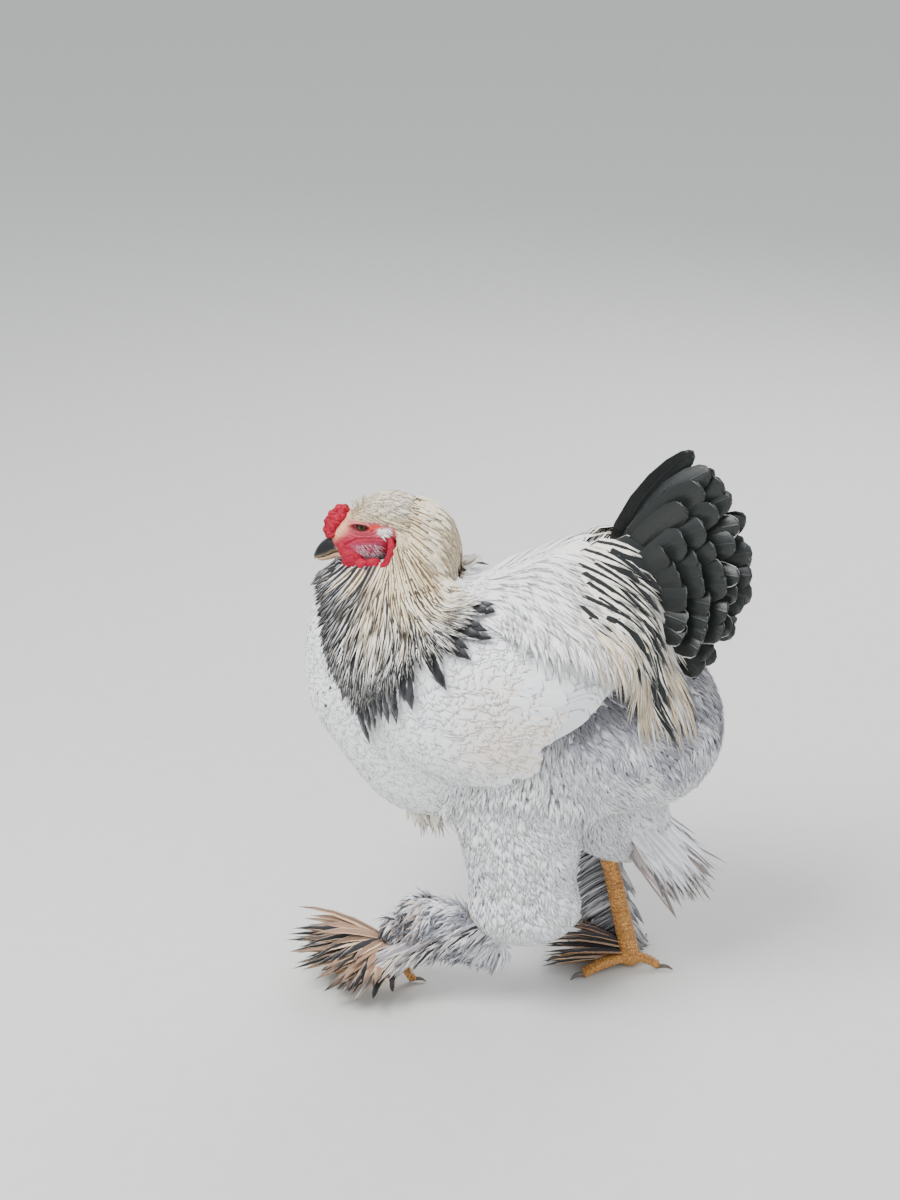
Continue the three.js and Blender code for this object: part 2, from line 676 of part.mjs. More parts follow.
function foot(name, grow = 0) {
  const side = SIDES[name];
  const { ball, heading } = LEGS[name];
  const feathers = FOOT_FANS.flatMap(({ count, from, to, length, width, high, lift }, tier) =>
    Array.from({ length: count }, (_, i) => {
      const t = i / (count - 1);
      const turn = heading + side * radians(mix(from, to, t) + 4 * vary(i + 4 * tier));
      const way = v(Math.sin(turn), -Math.cos(turn), 0);
      const reach = mix(length[0], length[1], t) * (1 + 0.08 * vary(i + tier));
      const spine = BLADE.map((_, n) => {
        const s = n / (BLADE.length - 1);
        const spot = v(ball.x, ball.y, ball.z - 8 + high).addScaledVector(way, 5 + reach * s);
        spot.z += reach * (mix(lift[0], lift[1], t) * s - 0.22 * s * s);
        return spot.setZ(Math.max(spot.z, 3 + 3 * tier + 0.6 * (i % 2)));
      });
      const faces = spine.map(() => Z_AXIS);
      return vane({ spine, faces, width, roll: side * radians(8) }, grow);
    }),
  );
  const toes = Object.keys(TOES).map((toe) => toeRod(name, toe, grow));
  const pad = ellipsoid(v(ball.x, ball.y, ball.z - 10), v(12, 14, 12), 0, 0, grow, 10);
  return union([pad, ...toes, ...feathers]);
}

// Materials

const finish = (color, roughness) => new THREE.MeshStandardMaterial({ color, roughness, metalness: 0 });
const white = finish(0xe9e8ea, 0.85);
const cream = finish(0xd9c9a6, 0.75);
const black = finish(0x23262a, 0.45);
const red = finish(0xcf3345, 0.55);
const horn = finish(0x4a443c, 0.4);
const scale = finish(0xd58a2e, 0.55);
const iris = finish(0x3a1f10, 0.1);
const down = finish(0xc9c7cd, 0.95);

// Assembly: each piece is cut clear of those that were placed before it

const FLOOR = solidFrom(new THREE.BoxGeometry(900, 900, 100).translate(0, 0, -50));
const bird = new THREE.Group();

function place(name, solid, material, cutters = []) {
  const made = largest(without(solid, cutters)).getMesh();
  const geometry = new THREE.BufferGeometry();
  geometry.setAttribute("position", new THREE.BufferAttribute(made.vertProperties, 3));
  geometry.setIndex(new THREE.BufferAttribute(made.triVerts, 1));
  const mesh = new THREE.Mesh(geometry, material);
  mesh.name = name;
  bird.add(mesh);
}

const torsoRoom = torso(GAP);
const headRoom = head(GAP);
const saddleRoom = saddle(GAP);
const beakRoom = upperBeak(GAP);
const tailRoom = tail(GAP);
const roomsByTheNeck = [headRoom, torsoRoom, saddleRoom];

place("torso", torso(), white);
place("head", head(), cream);
place("comb", comb(), red, [headRoom]);
place("beak_upper", upperBeak(), horn, [headRoom, comb(GAP), ...nostrils()]);
place("beak_lower", lowerBeak(), horn, [headRoom, beakRoom]);
place("tail", tail(), black, [torsoRoom]);
place("saddle", saddle(), cream, [torsoRoom, tailRoom]);
for (const [name, side] of Object.entries(SIDES)) {
  const wingRoom = wing(side, GAP);
  const wattleRoom = wattle(side, GAP);
  const shankRoom = shankRod(name, GAP);
  place(`${name}_eye`, eye(side), iris);
  place(`${name}_wattle`, wattle(side), red, [headRoom, beakRoom, lowerBeak(GAP)]);
  place(`${name}_earlobe`, earLobe(side), red, [headRoom, wattleRoom]);
  place(`${name}_wing`, wing(side), white, [torsoRoom, saddleRoom, tailRoom]);
  place(`${name}_thigh`, thigh(name), down, [torsoRoom, wingRoom, shankRoom]);
  place(`${name}_shank`, shank(name), scale, [thigh(name, GAP), FLOOR]);
  place(`${name}_foot`, foot(name), scale, [shank(name, GAP), FLOOR]);
  for (const toe of Object.keys(TOES))
    place(`${name}_claw_${toe}`, claw(name, toe), horn, [foot(name, GAP), FLOOR]);
  roomsByTheNeck.push(wingRoom, wattleRoom, earLobe(side, GAP));
}
place("neck", neck(), cream, roomsByTheNeck);

// The origin is on the floor, under the middle of the whole bird.
const box = new THREE.Box3().setFromObject(bird);
const middle = box.getCenter(v(0, 0, 0));
bird.position.set(-middle.x, -middle.y, -box.min.z);

export default bird;
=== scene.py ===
"""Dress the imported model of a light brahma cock: skin, face, horn, scales and every feather.

Sizes are millimetres in the bird's own frame, where it faces -Y and its left side is +X. They become
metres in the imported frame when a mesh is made.
"""

from __future__ import annotations

import json
import logging
import math
from dataclasses import dataclass, field
from enum import Enum
from typing import Callable, Sequence

import bpy
import numpy as np
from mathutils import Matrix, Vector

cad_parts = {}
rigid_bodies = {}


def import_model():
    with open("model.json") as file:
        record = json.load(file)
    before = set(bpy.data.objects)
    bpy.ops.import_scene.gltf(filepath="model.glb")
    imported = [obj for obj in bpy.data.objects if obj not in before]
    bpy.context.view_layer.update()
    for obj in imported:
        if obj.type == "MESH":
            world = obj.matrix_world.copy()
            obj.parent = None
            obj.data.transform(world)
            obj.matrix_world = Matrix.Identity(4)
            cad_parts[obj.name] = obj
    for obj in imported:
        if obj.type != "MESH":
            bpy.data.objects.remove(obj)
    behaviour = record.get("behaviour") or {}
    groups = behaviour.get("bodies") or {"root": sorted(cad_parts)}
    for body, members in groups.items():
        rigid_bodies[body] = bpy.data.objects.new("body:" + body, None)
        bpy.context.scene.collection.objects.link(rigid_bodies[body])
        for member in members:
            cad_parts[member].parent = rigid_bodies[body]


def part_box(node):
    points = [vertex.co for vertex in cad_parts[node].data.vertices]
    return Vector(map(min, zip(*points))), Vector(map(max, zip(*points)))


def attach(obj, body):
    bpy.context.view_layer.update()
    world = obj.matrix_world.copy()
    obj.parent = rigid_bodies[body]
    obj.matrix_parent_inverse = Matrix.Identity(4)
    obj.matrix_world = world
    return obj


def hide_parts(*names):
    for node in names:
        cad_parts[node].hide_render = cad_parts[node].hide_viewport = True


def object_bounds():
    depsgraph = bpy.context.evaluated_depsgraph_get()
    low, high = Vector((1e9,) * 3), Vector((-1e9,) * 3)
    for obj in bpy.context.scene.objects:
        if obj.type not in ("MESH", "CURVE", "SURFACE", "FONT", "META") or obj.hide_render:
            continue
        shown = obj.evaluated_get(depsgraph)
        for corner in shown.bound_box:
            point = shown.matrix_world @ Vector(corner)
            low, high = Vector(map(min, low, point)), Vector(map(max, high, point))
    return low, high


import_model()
CAD_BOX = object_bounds()
LOG = logging.getLogger("cock")

Array = np.ndarray
Piece = bpy.types.Object
Mesh = bpy.types.Mesh
Material = bpy.types.Material
Shell = tuple[Array, Array]
Flow = Callable[[Array, float], Array]

EYE = np.array([15.4, -149.0, 497.0])
TAIL_ROOT = np.array([0.0, 88.0, 440.0])


def frame_shift() -> Array:
    """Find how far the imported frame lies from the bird's own, from the place of its left eye."""
    low, high = (np.array(corner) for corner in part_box("left_eye"))
    return (low + high) * 500 - EYE


SHIFT = frame_shift()


class Side(Enum):
    """A side of the bird, and its sign along X."""

    LEFT = 1
    RIGHT = -1

    @property
    def word(self) -> str:
        """The side's name in a node's name."""
        return self.name.lower()


def unit(vectors: Array) -> Array:
    """Scale vectors to length one."""
    return vectors / np.maximum(np.linalg.norm(vectors, axis=-1, keepdims=True), 1e-9)


def dot(a: Array, b: Array) -> Array:
    """Multiply two sets of vectors, keeping the last axis."""
    return (a * b).sum(axis=-1, keepdims=True)


def columns(*parts: Array | float) -> Array:
    """Set numbers side by side, one column each."""
    return np.stack(np.broadcast_arrays(*parts), axis=1)


def blend(a: Array | float, b: Array | float, t: Array | float) -> Array | float:
    """Go from a to b as t goes from 0 to 1."""
    return a + (b - a) * t


def ease(low: float, high: float, value: Array) -> Array:
    """Rise smoothly from 0 at low to 1 at high."""
    t = np.clip((value - low) / (high - low), 0, 1)
    return t * t * (3 - 2 * t)


def shade(code: str) -> Array:
    """Turn a six-figure colour code into linear red, green and blue."""
    parts = np.array([int(code[i : i + 2], 16) for i in (0, 2, 4)]) / 255
    return np.where(parts < 0.04045, parts / 12.92, ((parts + 0.055) / 1.055) ** 2.4)


# Colours of the plumage and of the bare parts

WHITE = shade("fbfbfd")
SHADE_WHITE = shade("dfe1ea")
LAVENDER = shade("c3c2d0")
CREAM = shade("f2e2be")
IVORY = shade("f5efe2")
BUFF = shade("f0cf94")
BEIGE = shade("cfb78f")
TAUPE = shade("6f5c45")
GREY = shade("8f8d95")
SLATE = shade("55555c")
BLACK = shade("1a1b1e")
BEETLE = shade("0f1614")
RUST = shade("d8a07a")
TAN = shade("b48c72")


def ripple(points: Array, size: float, seed: int = 0) -> Array:
    """Draw smooth noise from -1 to 1 that changes over a distance."""
    cell = np.floor(points / size)
    part = points / size - cell
    part = part * part * (3 - 2 * part)
    total = np.zeros(len(points))
    for corner in np.ndindex(2, 2, 2):
        key = (cell + corner) @ np.array([12.9898, 78.233, 37.719]) + seed * 5.17
        value = np.sin(key) * 43758.5453
        weight = np.prod(np.where(np.array(corner) == 1, part, 1 - part), axis=1)
        total += (2 * (value - np.floor(value)) - 1) * weight
    return total


def inside(outline: Sequence[tuple[float, float]], y: Array, z: Array) -> Array:
    """Tell which points lie inside an outline drawn from the side."""
    corners = np.asarray(outline, float)
    within = np.zeros(np.shape(y), bool)
    for (ya, za), (yb, zb) in zip(corners, np.roll(corners, -1, axis=0)):
        rise = zb - za if zb != za else 1e-9
        within ^= ((za > z) != (zb > z)) & (y < (yb - ya) * (z - za) / rise + ya)
    return within


# Fields: how far a point lies outside a rounded lobe, and lobes that melt into one another


class Ground:
    """A surface given by how far each point lies outside it."""

    def beyond(self, points: Array) -> Array:
        """Measure how far points lie outside the surface."""
        raise NotImplementedError

    def slope(self, points: Array) -> Array:
        """Find the way out of the surface at each point."""
        corners = np.array([[1, -1, -1], [-1, -1, 1], [-1, 1, -1], [1, 1, 1]]) * 0.6
        return unit(sum(corner * self.beyond(points + corner)[..., None] for corner in corners))

    def settle(self, points: Array, height: Array | float, rounds: int = 3) -> Array:
        """Move points along the slope until they lie at a height over the surface."""
        spots = points.copy()
        for _ in range(rounds):
            spots += self.slope(spots) * (height - self.beyond(spots))[..., None]
        return spots

    def raised(self, by: float) -> Ground:
        """Give the same surface, raised."""
        return Raised(self, by)


@dataclass
class Raised(Ground):
    """A surface raised over another."""

    base: Ground
    by: float

    def beyond(self, points: Array) -> Array:
        """Measure how far points lie outside the surface."""
        return self.base.beyond(points) - self.by


@dataclass
class Lobe(Ground):
    """An egg shape, tilted about X and then turned about Z, in degrees."""

    at: Sequence[float]
    radii: Sequence[float]
    tilt: float = 0.0
    turn: float = 0.0

    def __post_init__(self) -> None:
        """Work out the turn from the bird's frame to the lobe's own."""
        a, b = -math.radians(self.tilt), -math.radians(self.turn)
        about_x = np.array([[1, 0, 0], [0, math.cos(a), -math.sin(a)], [0, math.sin(a), math.cos(a)]])
        about_z = np.array([[math.cos(b), -math.sin(b), 0], [math.sin(b), math.cos(b), 0], [0, 0, 1]])
        self.turned = (about_x @ about_z).T

    def beyond(self, points: Array) -> Array:
        """Measure how far points lie outside the lobe."""
        scaled = ((points - np.asarray(self.at)) @ self.turned) / np.asarray(self.radii)
        reach = np.linalg.norm(scaled, axis=-1)
        steep = np.linalg.norm(scaled / np.asarray(self.radii), axis=-1)
        return reach * (reach - 1) / np.maximum(steep, 1e-9)


@dataclass
class Body(Ground):
    """Several surfaces, each melting into the last over a width."""

    parts: list[Ground]
    melt: float = 0.01

    def beyond(self, points: Array) -> Array:
        """Measure how far points lie outside the body."""
        total = self.parts[0].beyond(points)
        for part in self.parts[1:]:
            other = part.beyond(points)
            near = np.maximum(self.melt - np.abs(total - other), 0) / self.melt
            total = np.minimum(total, other) - near * near * self.melt / 4
        return total


class Anatomy:
    """The bird's rounded forms, with the same sizes as the solids have."""

    def __init__(self) -> None:
        """Set out each form."""
        self.torso = Body(
            [
                Lobe((0, -100, 338), (92, 112, 100)),
                Lobe((0, -82, 280), (82, 88, 92)),
                Lobe((0, 25, 320), (103, 150, 119), 8),
                Lobe((0, 80, 388), (60, 80, 58), 20),
                Lobe((0, 115, 300), (86, 92, 88), -8),
                Lobe((0, 10, 270), (82, 106, 74)),
            ],
            30,
        )
        self.neck = Body(
            [
                Lobe((0, -92, 487), (28, 28, 31)),
                Lobe((0, -92, 456), (40, 36, 38)),
                Lobe((0, -150, 424), (32, 42, 30)),
                Lobe((0, -118, 410), (62, 72, 42)),
                Lobe((0, -122, 378), (82, 84, 46), -6),
            ],
            26,
        )
        self.head = Body(
            [
                Lobe((0, -126, 498), (26, 35, 29), 12),
                Lobe((0, -153, 488), (19, 27, 22), 30),
                Lobe((0, -167, 477), (12.5, 17, 15), 40),
                Lobe((16, -147, 506), (6, 15, 5), 25, -14),
                Lobe((-16, -147, 506), (6, 15, 5), 25, 14),
                Lobe((0, -146, 474), (17, 26, 14), 12),
            ],
            9,
        )
        self.wings = {side: self.wing(side.value) for side in Side}
        self.saddle = Body([Lobe((0, 36, 409), (66, 94, 54), 27), Lobe((0, 78, 430), (48, 48, 56), 20)], 24)
        self.rump = Lobe(TAIL_ROOT + [0, 14, 2], (38, 46, 52))
        self.legs = {Side.LEFT: Leg.left(), Side.RIGHT: Leg.right()}
        self.mantle = Body([self.torso, self.saddle, *self.wings.values()], 58)

    @staticmethod
    def wing(sign: int) -> Body:
        """Set out the folded wing on one side."""
        return Body(
            [
                Lobe((sign * 92, -48, 352), (24, 56, 58), 24, sign * 14),
                Lobe((sign * 96, 10, 358), (22, 82, 46), 30, sign * -4),
                Lobe((sign * 84, 66, 378), (18, 56, 30), 36, sign * -12),
            ],
            26,
        )


@dataclass
class Leg:
    """A leg: where its joints stand, and the fluff on its thigh."""

    side: Side
    hip: Array
    hock: Array
    ball: Array
    heading: float
    bulb: Array
    bulb_radii: Sequence[float]
    thigh: Body = field(init=False)
    boot: Body = field(init=False)

    def __post_init__(self) -> None:
        """Set out the thigh between the joints."""
        middle = (self.hip + self.bulb) / 2
        self.thigh = Body(
            [
                Lobe(self.hip, (44, 72, 58)),
                Lobe(middle, (44, 58, 50)),
                Lobe(self.bulb, self.bulb_radii),
                Lobe(self.hock + [0, 0, 8], (24, 28, 24)),
            ],
            26,
        )
        shank = self.ball - self.hock
        steep = math.degrees(math.atan2(-shank[2], -shank[1]))
        at = self.hock + shank * 0.42 + [4, 0, -4]
        lower = Lobe(self.hock + shank * 0.8, (19, 34, 20), -steep)
        self.boot = Body([Lobe(at, (21, 62, 27), -steep), lower], 20)

    @classmethod
    def left(cls) -> Leg:
        """Stand the left leg forward on its toes."""
        joints = np.array([[56, 10, 234], [60, 4, 108], [38, -124, 46], [60, 20, 119]], float)
        return cls(Side.LEFT, *joints[:3], math.radians(-6), joints[3], (42, 56, 42))

    @classmethod
    def right(cls) -> Leg:
        """Stand the right leg back, flat on the floor."""
        joints = np.array([[-52, 62, 226], [-42, 88, 152], [-34, 120, 20], [-50, 112, 156]], float)
        return cls(Side.RIGHT, *joints[:3], math.radians(6), joints[3], (34, 46, 38))


# Shader maths: a socket that takes part in Python expressions, and the tree that holds it


class Value:
    """An output socket that adds, subtracts, multiplies, raises to powers and drops signs by adding Math
    nodes.
    """

    def __init__(self, paint: Tree, socket: bpy.types.NodeSocket) -> None:
        """Hold the socket and the tree that it belongs to."""
        self.paint = paint
        self.socket = socket

    def _math(self, operation: str, *values: Value | float) -> Value:
        return self.paint.node("ShaderNodeMath", {"operation": operation}, dict(enumerate(values)))

    def __add__(self, other: Value | float) -> Value:
        """Add another value."""
        return self._math("ADD", self, other)

    def __sub__(self, other: Value | float) -> Value:
        """Subtract another value."""
        return self._math("SUBTRACT", self, other)

    def __rsub__(self, other: float) -> Value:
        """Subtract this value from a number."""
        return self._math("SUBTRACT", other, self)

    def __mul__(self, other: Value | float) -> Value:
        """Multiply by another value."""
        return self._math("MULTIPLY", self, other)

    def __pow__(self, other: Value | float) -> Value:
        """Raise to a power."""
        return self._math("POWER", self, other)

    def __abs__(self) -> Value:
        """Drop the sign."""
        return self._math("ABSOLUTE", self)

    __radd__ = __add__
    __rmul__ = __mul__

    def ramp(self, low: float, high: float) -> Value:
        """Rise smoothly from 0 at low to 1 at high."""
        sockets = {"Value": self, "From Min": low, "From Max": high}
        settings = {"interpolation_type": "SMOOTHSTEP"}
        return self.paint.node("ShaderNodeMapRange", settings, sockets, "Result")


class Tree:
    """A node tree that is filled by expressions."""

    tree: bpy.types.NodeTree

    def node(self, kind: str, settings: dict, sockets: dict, output: str | int = 0) -> Value:
        """Add a node.

        Args:
            kind: The node's type.
            settings: Its properties, which are set first.
            sockets: Values or links for its input sockets, by name or number.
            output: The output socket to return.

        Returns:
            The chosen output as a value.
        """
        made = self.tree.nodes.new(kind)
        for key, value in settings.items():
            setattr(made, key, value)
        for key, value in sockets.items():
            if isinstance(value, Value):
                self.tree.links.new(value.socket, made.inputs[key])
            else:
                made.inputs[key].default_value = value
        return Value(self, made.outputs[output])


class Growth(Tree):
    """A Geometry Nodes tree with named inputs, run once over a mesh."""

    def __init__(self, name: str) -> None:
        """Start the tree with a mesh coming in and one going out."""
        self.tree = bpy.data.node_groups.new(name, "GeometryNodeTree")
        for way in ("INPUT", "OUTPUT"):
            self.tree.interface.new_socket("Geometry", in_out=way, socket_type="NodeSocketGeometry")
        self.entry = self.tree.nodes.new("NodeGroupInput")
        self.values: dict[str, object] = {}

    def input(self, name: str, kind: str, value: object) -> Value:
        """Add a named input of the tree with its value."""
        made = self.tree.interface.new_socket(name, in_out="INPUT", socket_type=f"NodeSocket{kind}")
        self.values[made.identifier] = value
        return Value(self, self.entry.outputs[name])

    def grow(self, name: str, source: Mesh, instances: Value, finish: Value) -> Mesh:
        """Run the tree over a mesh.

        Args:
            name: The new mesh's name.
            source: The mesh that it grows on.
            instances: The instances that the tree makes.
            finish: Their material.

        Returns:
            The plain mesh.
        """
        real = self.node("GeometryNodeRealizeInstances", {}, {0: instances})
        painted = self.node("GeometryNodeSetMaterial", {}, {"Geometry": real, "Material": finish})
        last = self.tree.nodes.new("NodeGroupOutput")
        self.tree.links.new(painted.socket, last.inputs[0])
        holder = bpy.data.objects.new(name, source)
        bpy.context.scene.collection.objects.link(holder)
        modifier = holder.modifiers.new("growth", "NODES")
        modifier.node_group = self.tree
        for identifier, value in self.values.items():
            modifier[identifier] = value
        made = bpy.data.meshes.new_from_object(holder.evaluated_get(bpy.context.evaluated_depsgraph_get()))
        made.name = name
        bpy.data.objects.remove(holder)
        return made


class Paint(Tree):
    """A material's node tree with one Principled shader, filled by expressions."""

    def __init__(self, name: str, **constants: float | tuple) -> None:
        """Start a material.

        Args:
            name: The material's name.
            constants: Values for the shader's own sockets, with underscores for spaces.
        """
        self.material = bpy.data.materials.new(name)
        self.material.use_nodes = True
        self.tree = self.material.node_tree
        self.shader = self.tree.nodes["Principled BSDF"]
        for key, value in constants.items():
            self.shader.inputs[key.replace("_", " ")].default_value = value

    def mix(self, mask: Value | float, a: Value | Array, b: Value | Array) -> Value:
        """Mix two colours by a mask."""
        ends = {6: a, 7: b}
        sockets = {k: c if isinstance(c, Value) else (*c[:3], 1) for k, c in ends.items()}
        return self.node("ShaderNodeMix", {"data_type": "RGBA"}, {0: mask, **sockets}, 2)

    def tint(self, colour: Value, amount: Value) -> Value:
        """Multiply a colour by a grey amount."""
        settings = {"operation": "SCALE"}
        return self.node("ShaderNodeVectorMath", settings, {0: colour, "Scale": amount})

    def attribute(self, name: str, output: str = "Color") -> Value:
        """Read an attribute of the mesh."""
        return self.node("ShaderNodeAttribute", {"attribute_name": name}, {}, output)

    def place(self) -> Value:
        """Read the place in the object's own frame."""
        return self.node("ShaderNodeTexCoord", {}, {}, "Object")

    def split(self, vector: Value) -> list[Value]:
        """Part a vector into its three numbers."""
        first = self.node("ShaderNodeSeparateXYZ", {}, {0: vector})
        return [Value(self, socket) for socket in first.socket.node.outputs]

    def join(self, x: Value | float, y: Value | float, z: Value | float) -> Value:
        """Make a vector of three numbers."""
        return self.node("ShaderNodeCombineXYZ", {}, {0: x, 1: y, 2: z})

    def noise(self, vector: Value, scale: float, detail: float = 2.0, rough: float = 0.5) -> Value:
        """Read noise from 0 to 1 at a place."""
        sockets = {"Vector": vector, "Scale": scale, "Detail": detail, "Roughness": rough}
        return self.node("ShaderNodeTexNoise", {}, sockets)

    def cells(self, vector: Value, scale: float) -> Value:
        """Read the distance to the nearest cell point."""
        return self.node("ShaderNodeTexVoronoi", {}, {"Vector": vector, "Scale": scale})

    def bump(self, height: Value, depth: float) -> None:
        """Raise the surface by a height times a depth in metres."""
        sockets = {"Height": height, "Distance": depth, "Strength": 1.0}
        self.feed("Normal", self.node("ShaderNodeBump", {}, sockets))

    def feed(self, name: str, value: Value) -> None:
        """Link a value to a socket of the shader."""
        self.tree.links.new(value.socket, self.shader.inputs[name])


@dataclass(frozen=True)
class FeatherFinish:
    """A feather's finish: barbs that slant from the shaft, and an edge and a centre colour."""

    name: str
    barbs: float = 46.0
    ragged: float = 0.16
    roughness: float = 0.8
    sheen: float = 0.25
    contrast: float = 0.22
    relief: float = 0.00025
    gloss: bool = False

    def material(self) -> Material:
        """Build the material, which reads the feather's own map and colours."""
        sheen = {"Sheen_Weight": self.sheen, "Specular_IOR_Level": 0.5 if self.gloss else 0.3}
        paint = Paint(self.name, Roughness=self.roughness, **sheen)
        vane = paint.node("ShaderNodeUVMap", {"uv_map": "Vane"}, {})
        across, along, _ = paint.split(vane)
        out = abs(across - 0.5) * 2
        pattern = paint.attribute("pattern")
        stripe, stop, chance = paint.split(pattern)
        start = paint.attribute("pattern", "Alpha")
        slant = along - out * 0.16 + chance * 7
        lines = paint.noise(paint.join(slant * self.barbs, out * 1.6, chance * 90), 1.0, 3, 0.65)
        broken = paint.noise(paint.join(slant * self.barbs * 0.5, out, chance * 50), 1.0, 2)
        reach = stripe + (broken - 0.5) * self.ragged
        inside = 1 - (out - reach).ramp(-0.05, 0.05)
        before = 1 - (along - stop + (broken - 0.5) * self.ragged).ramp(-0.03, 0.03)
        after = (along - start + (broken - 0.5) * self.ragged).ramp(-0.06, 0.06)
        mask = inside * before * after
        colour = paint.mix(mask, paint.attribute("edge"), paint.attribute("centre"))
        amount = 1 - (0.62 - lines).ramp(0, 0.3) * self.contrast
        paint.feed("Base Color", paint.tint(colour, amount))
        shaft = 1 - out.ramp(0.02, 0.09)
        paint.bump(lines * 0.7 + shaft * 0.5, self.relief)
        return paint.material


# Meshes


def object_of(name: str, mesh: Mesh, material: Material) -> Piece:
    """Put a mesh in the scene with its material, riding on the bird.

    Args:
        name: The piece's name.
        mesh: Its mesh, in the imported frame.
        material: Its finish.

    Returns:
        The new object.
    """
    made = bpy.data.objects.new(name, mesh)
    bpy.context.scene.collection.objects.link(made)
    mesh.materials.clear()
    mesh.materials.append(material)
    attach(made, "root")
    LOG.info("%s: %d faces", name, len(mesh.polygons))
    return made


def mesh_of(name: str, points: Array, faces: Sequence | Array, smooth: bool = True) -> Mesh:
    """Make a mesh of points in the bird's frame.

    Args:
        name: The mesh's name.
        points: Its points, in millimetres.
        faces: Its faces as lists of point numbers.
        smooth: Whether its faces are shaded smooth.

    Returns:
        The mesh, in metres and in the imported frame.
    """
    mesh = bpy.data.meshes.new(name)
    mesh.from_pydata(((points + SHIFT) / 1000).tolist(), [], [list(map(int, face)) for face in faces])
    mesh.shade_smooth() if smooth else mesh.shade_flat()
    mesh.update()
    return mesh


def ball(detail: int) -> Shell:
    """Make the points and faces of a round ball of radius one."""
    golden = (1 + 5**0.5) / 2
    points = [(-1, golden, 0), (1, golden, 0), (-1, -golden, 0), (1, -golden, 0)]
    points += [(0, -1, golden), (0, 1, golden), (0, -1, -golden), (0, 1, -golden)]
    points += [(golden, 0, -1), (golden, 0, 1), (-golden, 0, -1), (-golden, 0, 1)]
    faces = [(0, 11, 5), (0, 5, 1), (0, 1, 7), (0, 7, 10), (0, 10, 11), (1, 5, 9), (5, 11, 4)]
    faces += [(11, 10, 2), (10, 7, 6), (7, 1, 8), (3, 9, 4), (3, 4, 2), (3, 2, 6), (3, 6, 8)]
    faces += [(3, 8, 9), (4, 9, 5), (2, 4, 11), (6, 2, 10), (8, 6, 7), (9, 8, 1)]
    spots, tris = unit(np.array(points, float)), np.array(faces)
    for _ in range(detail):
        edges = np.sort(np.concatenate([tris[:, [0, 1]], tris[:, [1, 2]], tris[:, [2, 0]]]), axis=1)
        kept, where = np.unique(edges, axis=0, return_inverse=True)
        middles = unit(spots[kept[:, 0]] + spots[kept[:, 1]])
        a, b, c = (where.reshape(3, -1) + len(spots))
        spots = np.concatenate([spots, middles])
        first, second, third = tris.T
        quarters = [(first, a, c), (second, b, a), (third, c, b), (a, b, c)]
        tris = np.concatenate([np.stack(quarter, axis=1) for quarter in quarters])
    return spots, tris


def wrapped(ground: Ground, centre: Sequence[float], detail: int, grow: float = 0) -> Shell:
    """Move a ball's points out from a centre until they lie on a surface.

    Args:
        ground: The surface.
        centre: A point inside it that sees all of it.
        detail: How often the ball's faces are divided.
        grow: How far over the surface the points lie.

    Returns:
        The points and the faces.
    """
    ways, faces = ball(detail)
    centre = np.asarray(centre, float)
    inner, outer = np.zeros(len(ways)), np.full(len(ways), 300.0)
    for _ in range(24):
        half = (inner + outer) / 2
        inside = ground.beyond(centre + ways * half[:, None]) < grow
        inner, outer = np.where(inside, half, inner), np.where(inside, outer, half)
    return centre + ways * inner[:, None], faces


def joined(shells: Sequence[Shell]) -> Shell:
    """Put several shells into one set of points and faces."""
    points, faces, count = [], [], 0
    for spots, tris in shells:
        points.append(spots)
        faces.append(np.asarray(tris) + count)
        count += len(spots)
    return np.concatenate(points), np.concatenate(faces)


def remeshed(name: str, shells: Sequence[Shell], cell: float, rounds: int = 4) -> Mesh:
    """Melt closed shells into one even mesh.

    Args:
        name: The mesh's name.
        shells: The shells' points and faces, in the bird's frame.
        cell: The size of a cell, in millimetres.
        rounds: How often the result is smoothed.

    Returns:
        The mesh.
    """
    source = mesh_of(name, *joined(shells))
    holder = bpy.data.objects.new(name, source)
    bpy.context.scene.collection.objects.link(holder)
    remesh = holder.modifiers.new("melt", "REMESH")
    remesh.mode = "VOXEL"
    remesh.voxel_size = cell / 1000
    smooth = holder.modifiers.new("smooth", "SMOOTH")
    smooth.iterations = rounds
    made = bpy.data.meshes.new_from_object(holder.evaluated_get(bpy.context.evaluated_depsgraph_get()))
    bpy.data.objects.remove(holder)
    made.shade_smooth()
    return made


def spots_of(mesh: Mesh) -> Array:
    """Read a mesh's points in the bird's frame, in millimetres."""
    flat = np.empty(len(mesh.vertices) * 3)
    mesh.vertices.foreach_get("co", flat)
    return flat.reshape(-1, 3) * 1000 - SHIFT


def move_spots(mesh: Mesh, points: Array) -> None:
    """Write a mesh's points, given in the bird's frame."""
    mesh.vertices.foreach_set("co", ((points + SHIFT) / 1000).ravel())
    mesh.update()


def stain(mesh: Mesh, name: str, colours: Array) -> None:
    """Keep a colour for each point of a mesh."""
    layer = mesh.color_attributes.new(name, "FLOAT_COLOR", "POINT")
    if colours.shape[1] == 3:
        colours = np.concatenate([colours, np.ones((len(colours), 1))], axis=1)
    layer.data.foreach_set("color", colours.ravel())


# Feathers


@dataclass(frozen=True)
class Cut:
    """A feather's outline: where its rings lie from root to tip, and its share of the width there."""

    rings: tuple[float, ...]
    shares: tuple[float, ...]


ROUNDED = Cut((0, 0.3, 0.62, 0.86, 0.96, 1), (0.45, 0.86, 1, 0.78, 0.42, 0))
LANCE = Cut((0, 0.12, 0.34, 0.58, 0.8, 1), (0.4, 0.9, 1, 0.8, 0.46, 0))
LEAF = Cut(LANCE.rings, (0.3, 0.5, 0.78, 1, 0.82, 0))
STRAND = Cut((0, 0.3, 0.65, 1), (0.8, 1, 0.6, 0))
BROAD = Cut((0, 0.14, 0.32, 0.52, 0.7, 0.84, 0.94, 0.985, 1), (0.3, 0.75, 0.95, 1, 1, 0.92, 0.7, 0.4, 0))

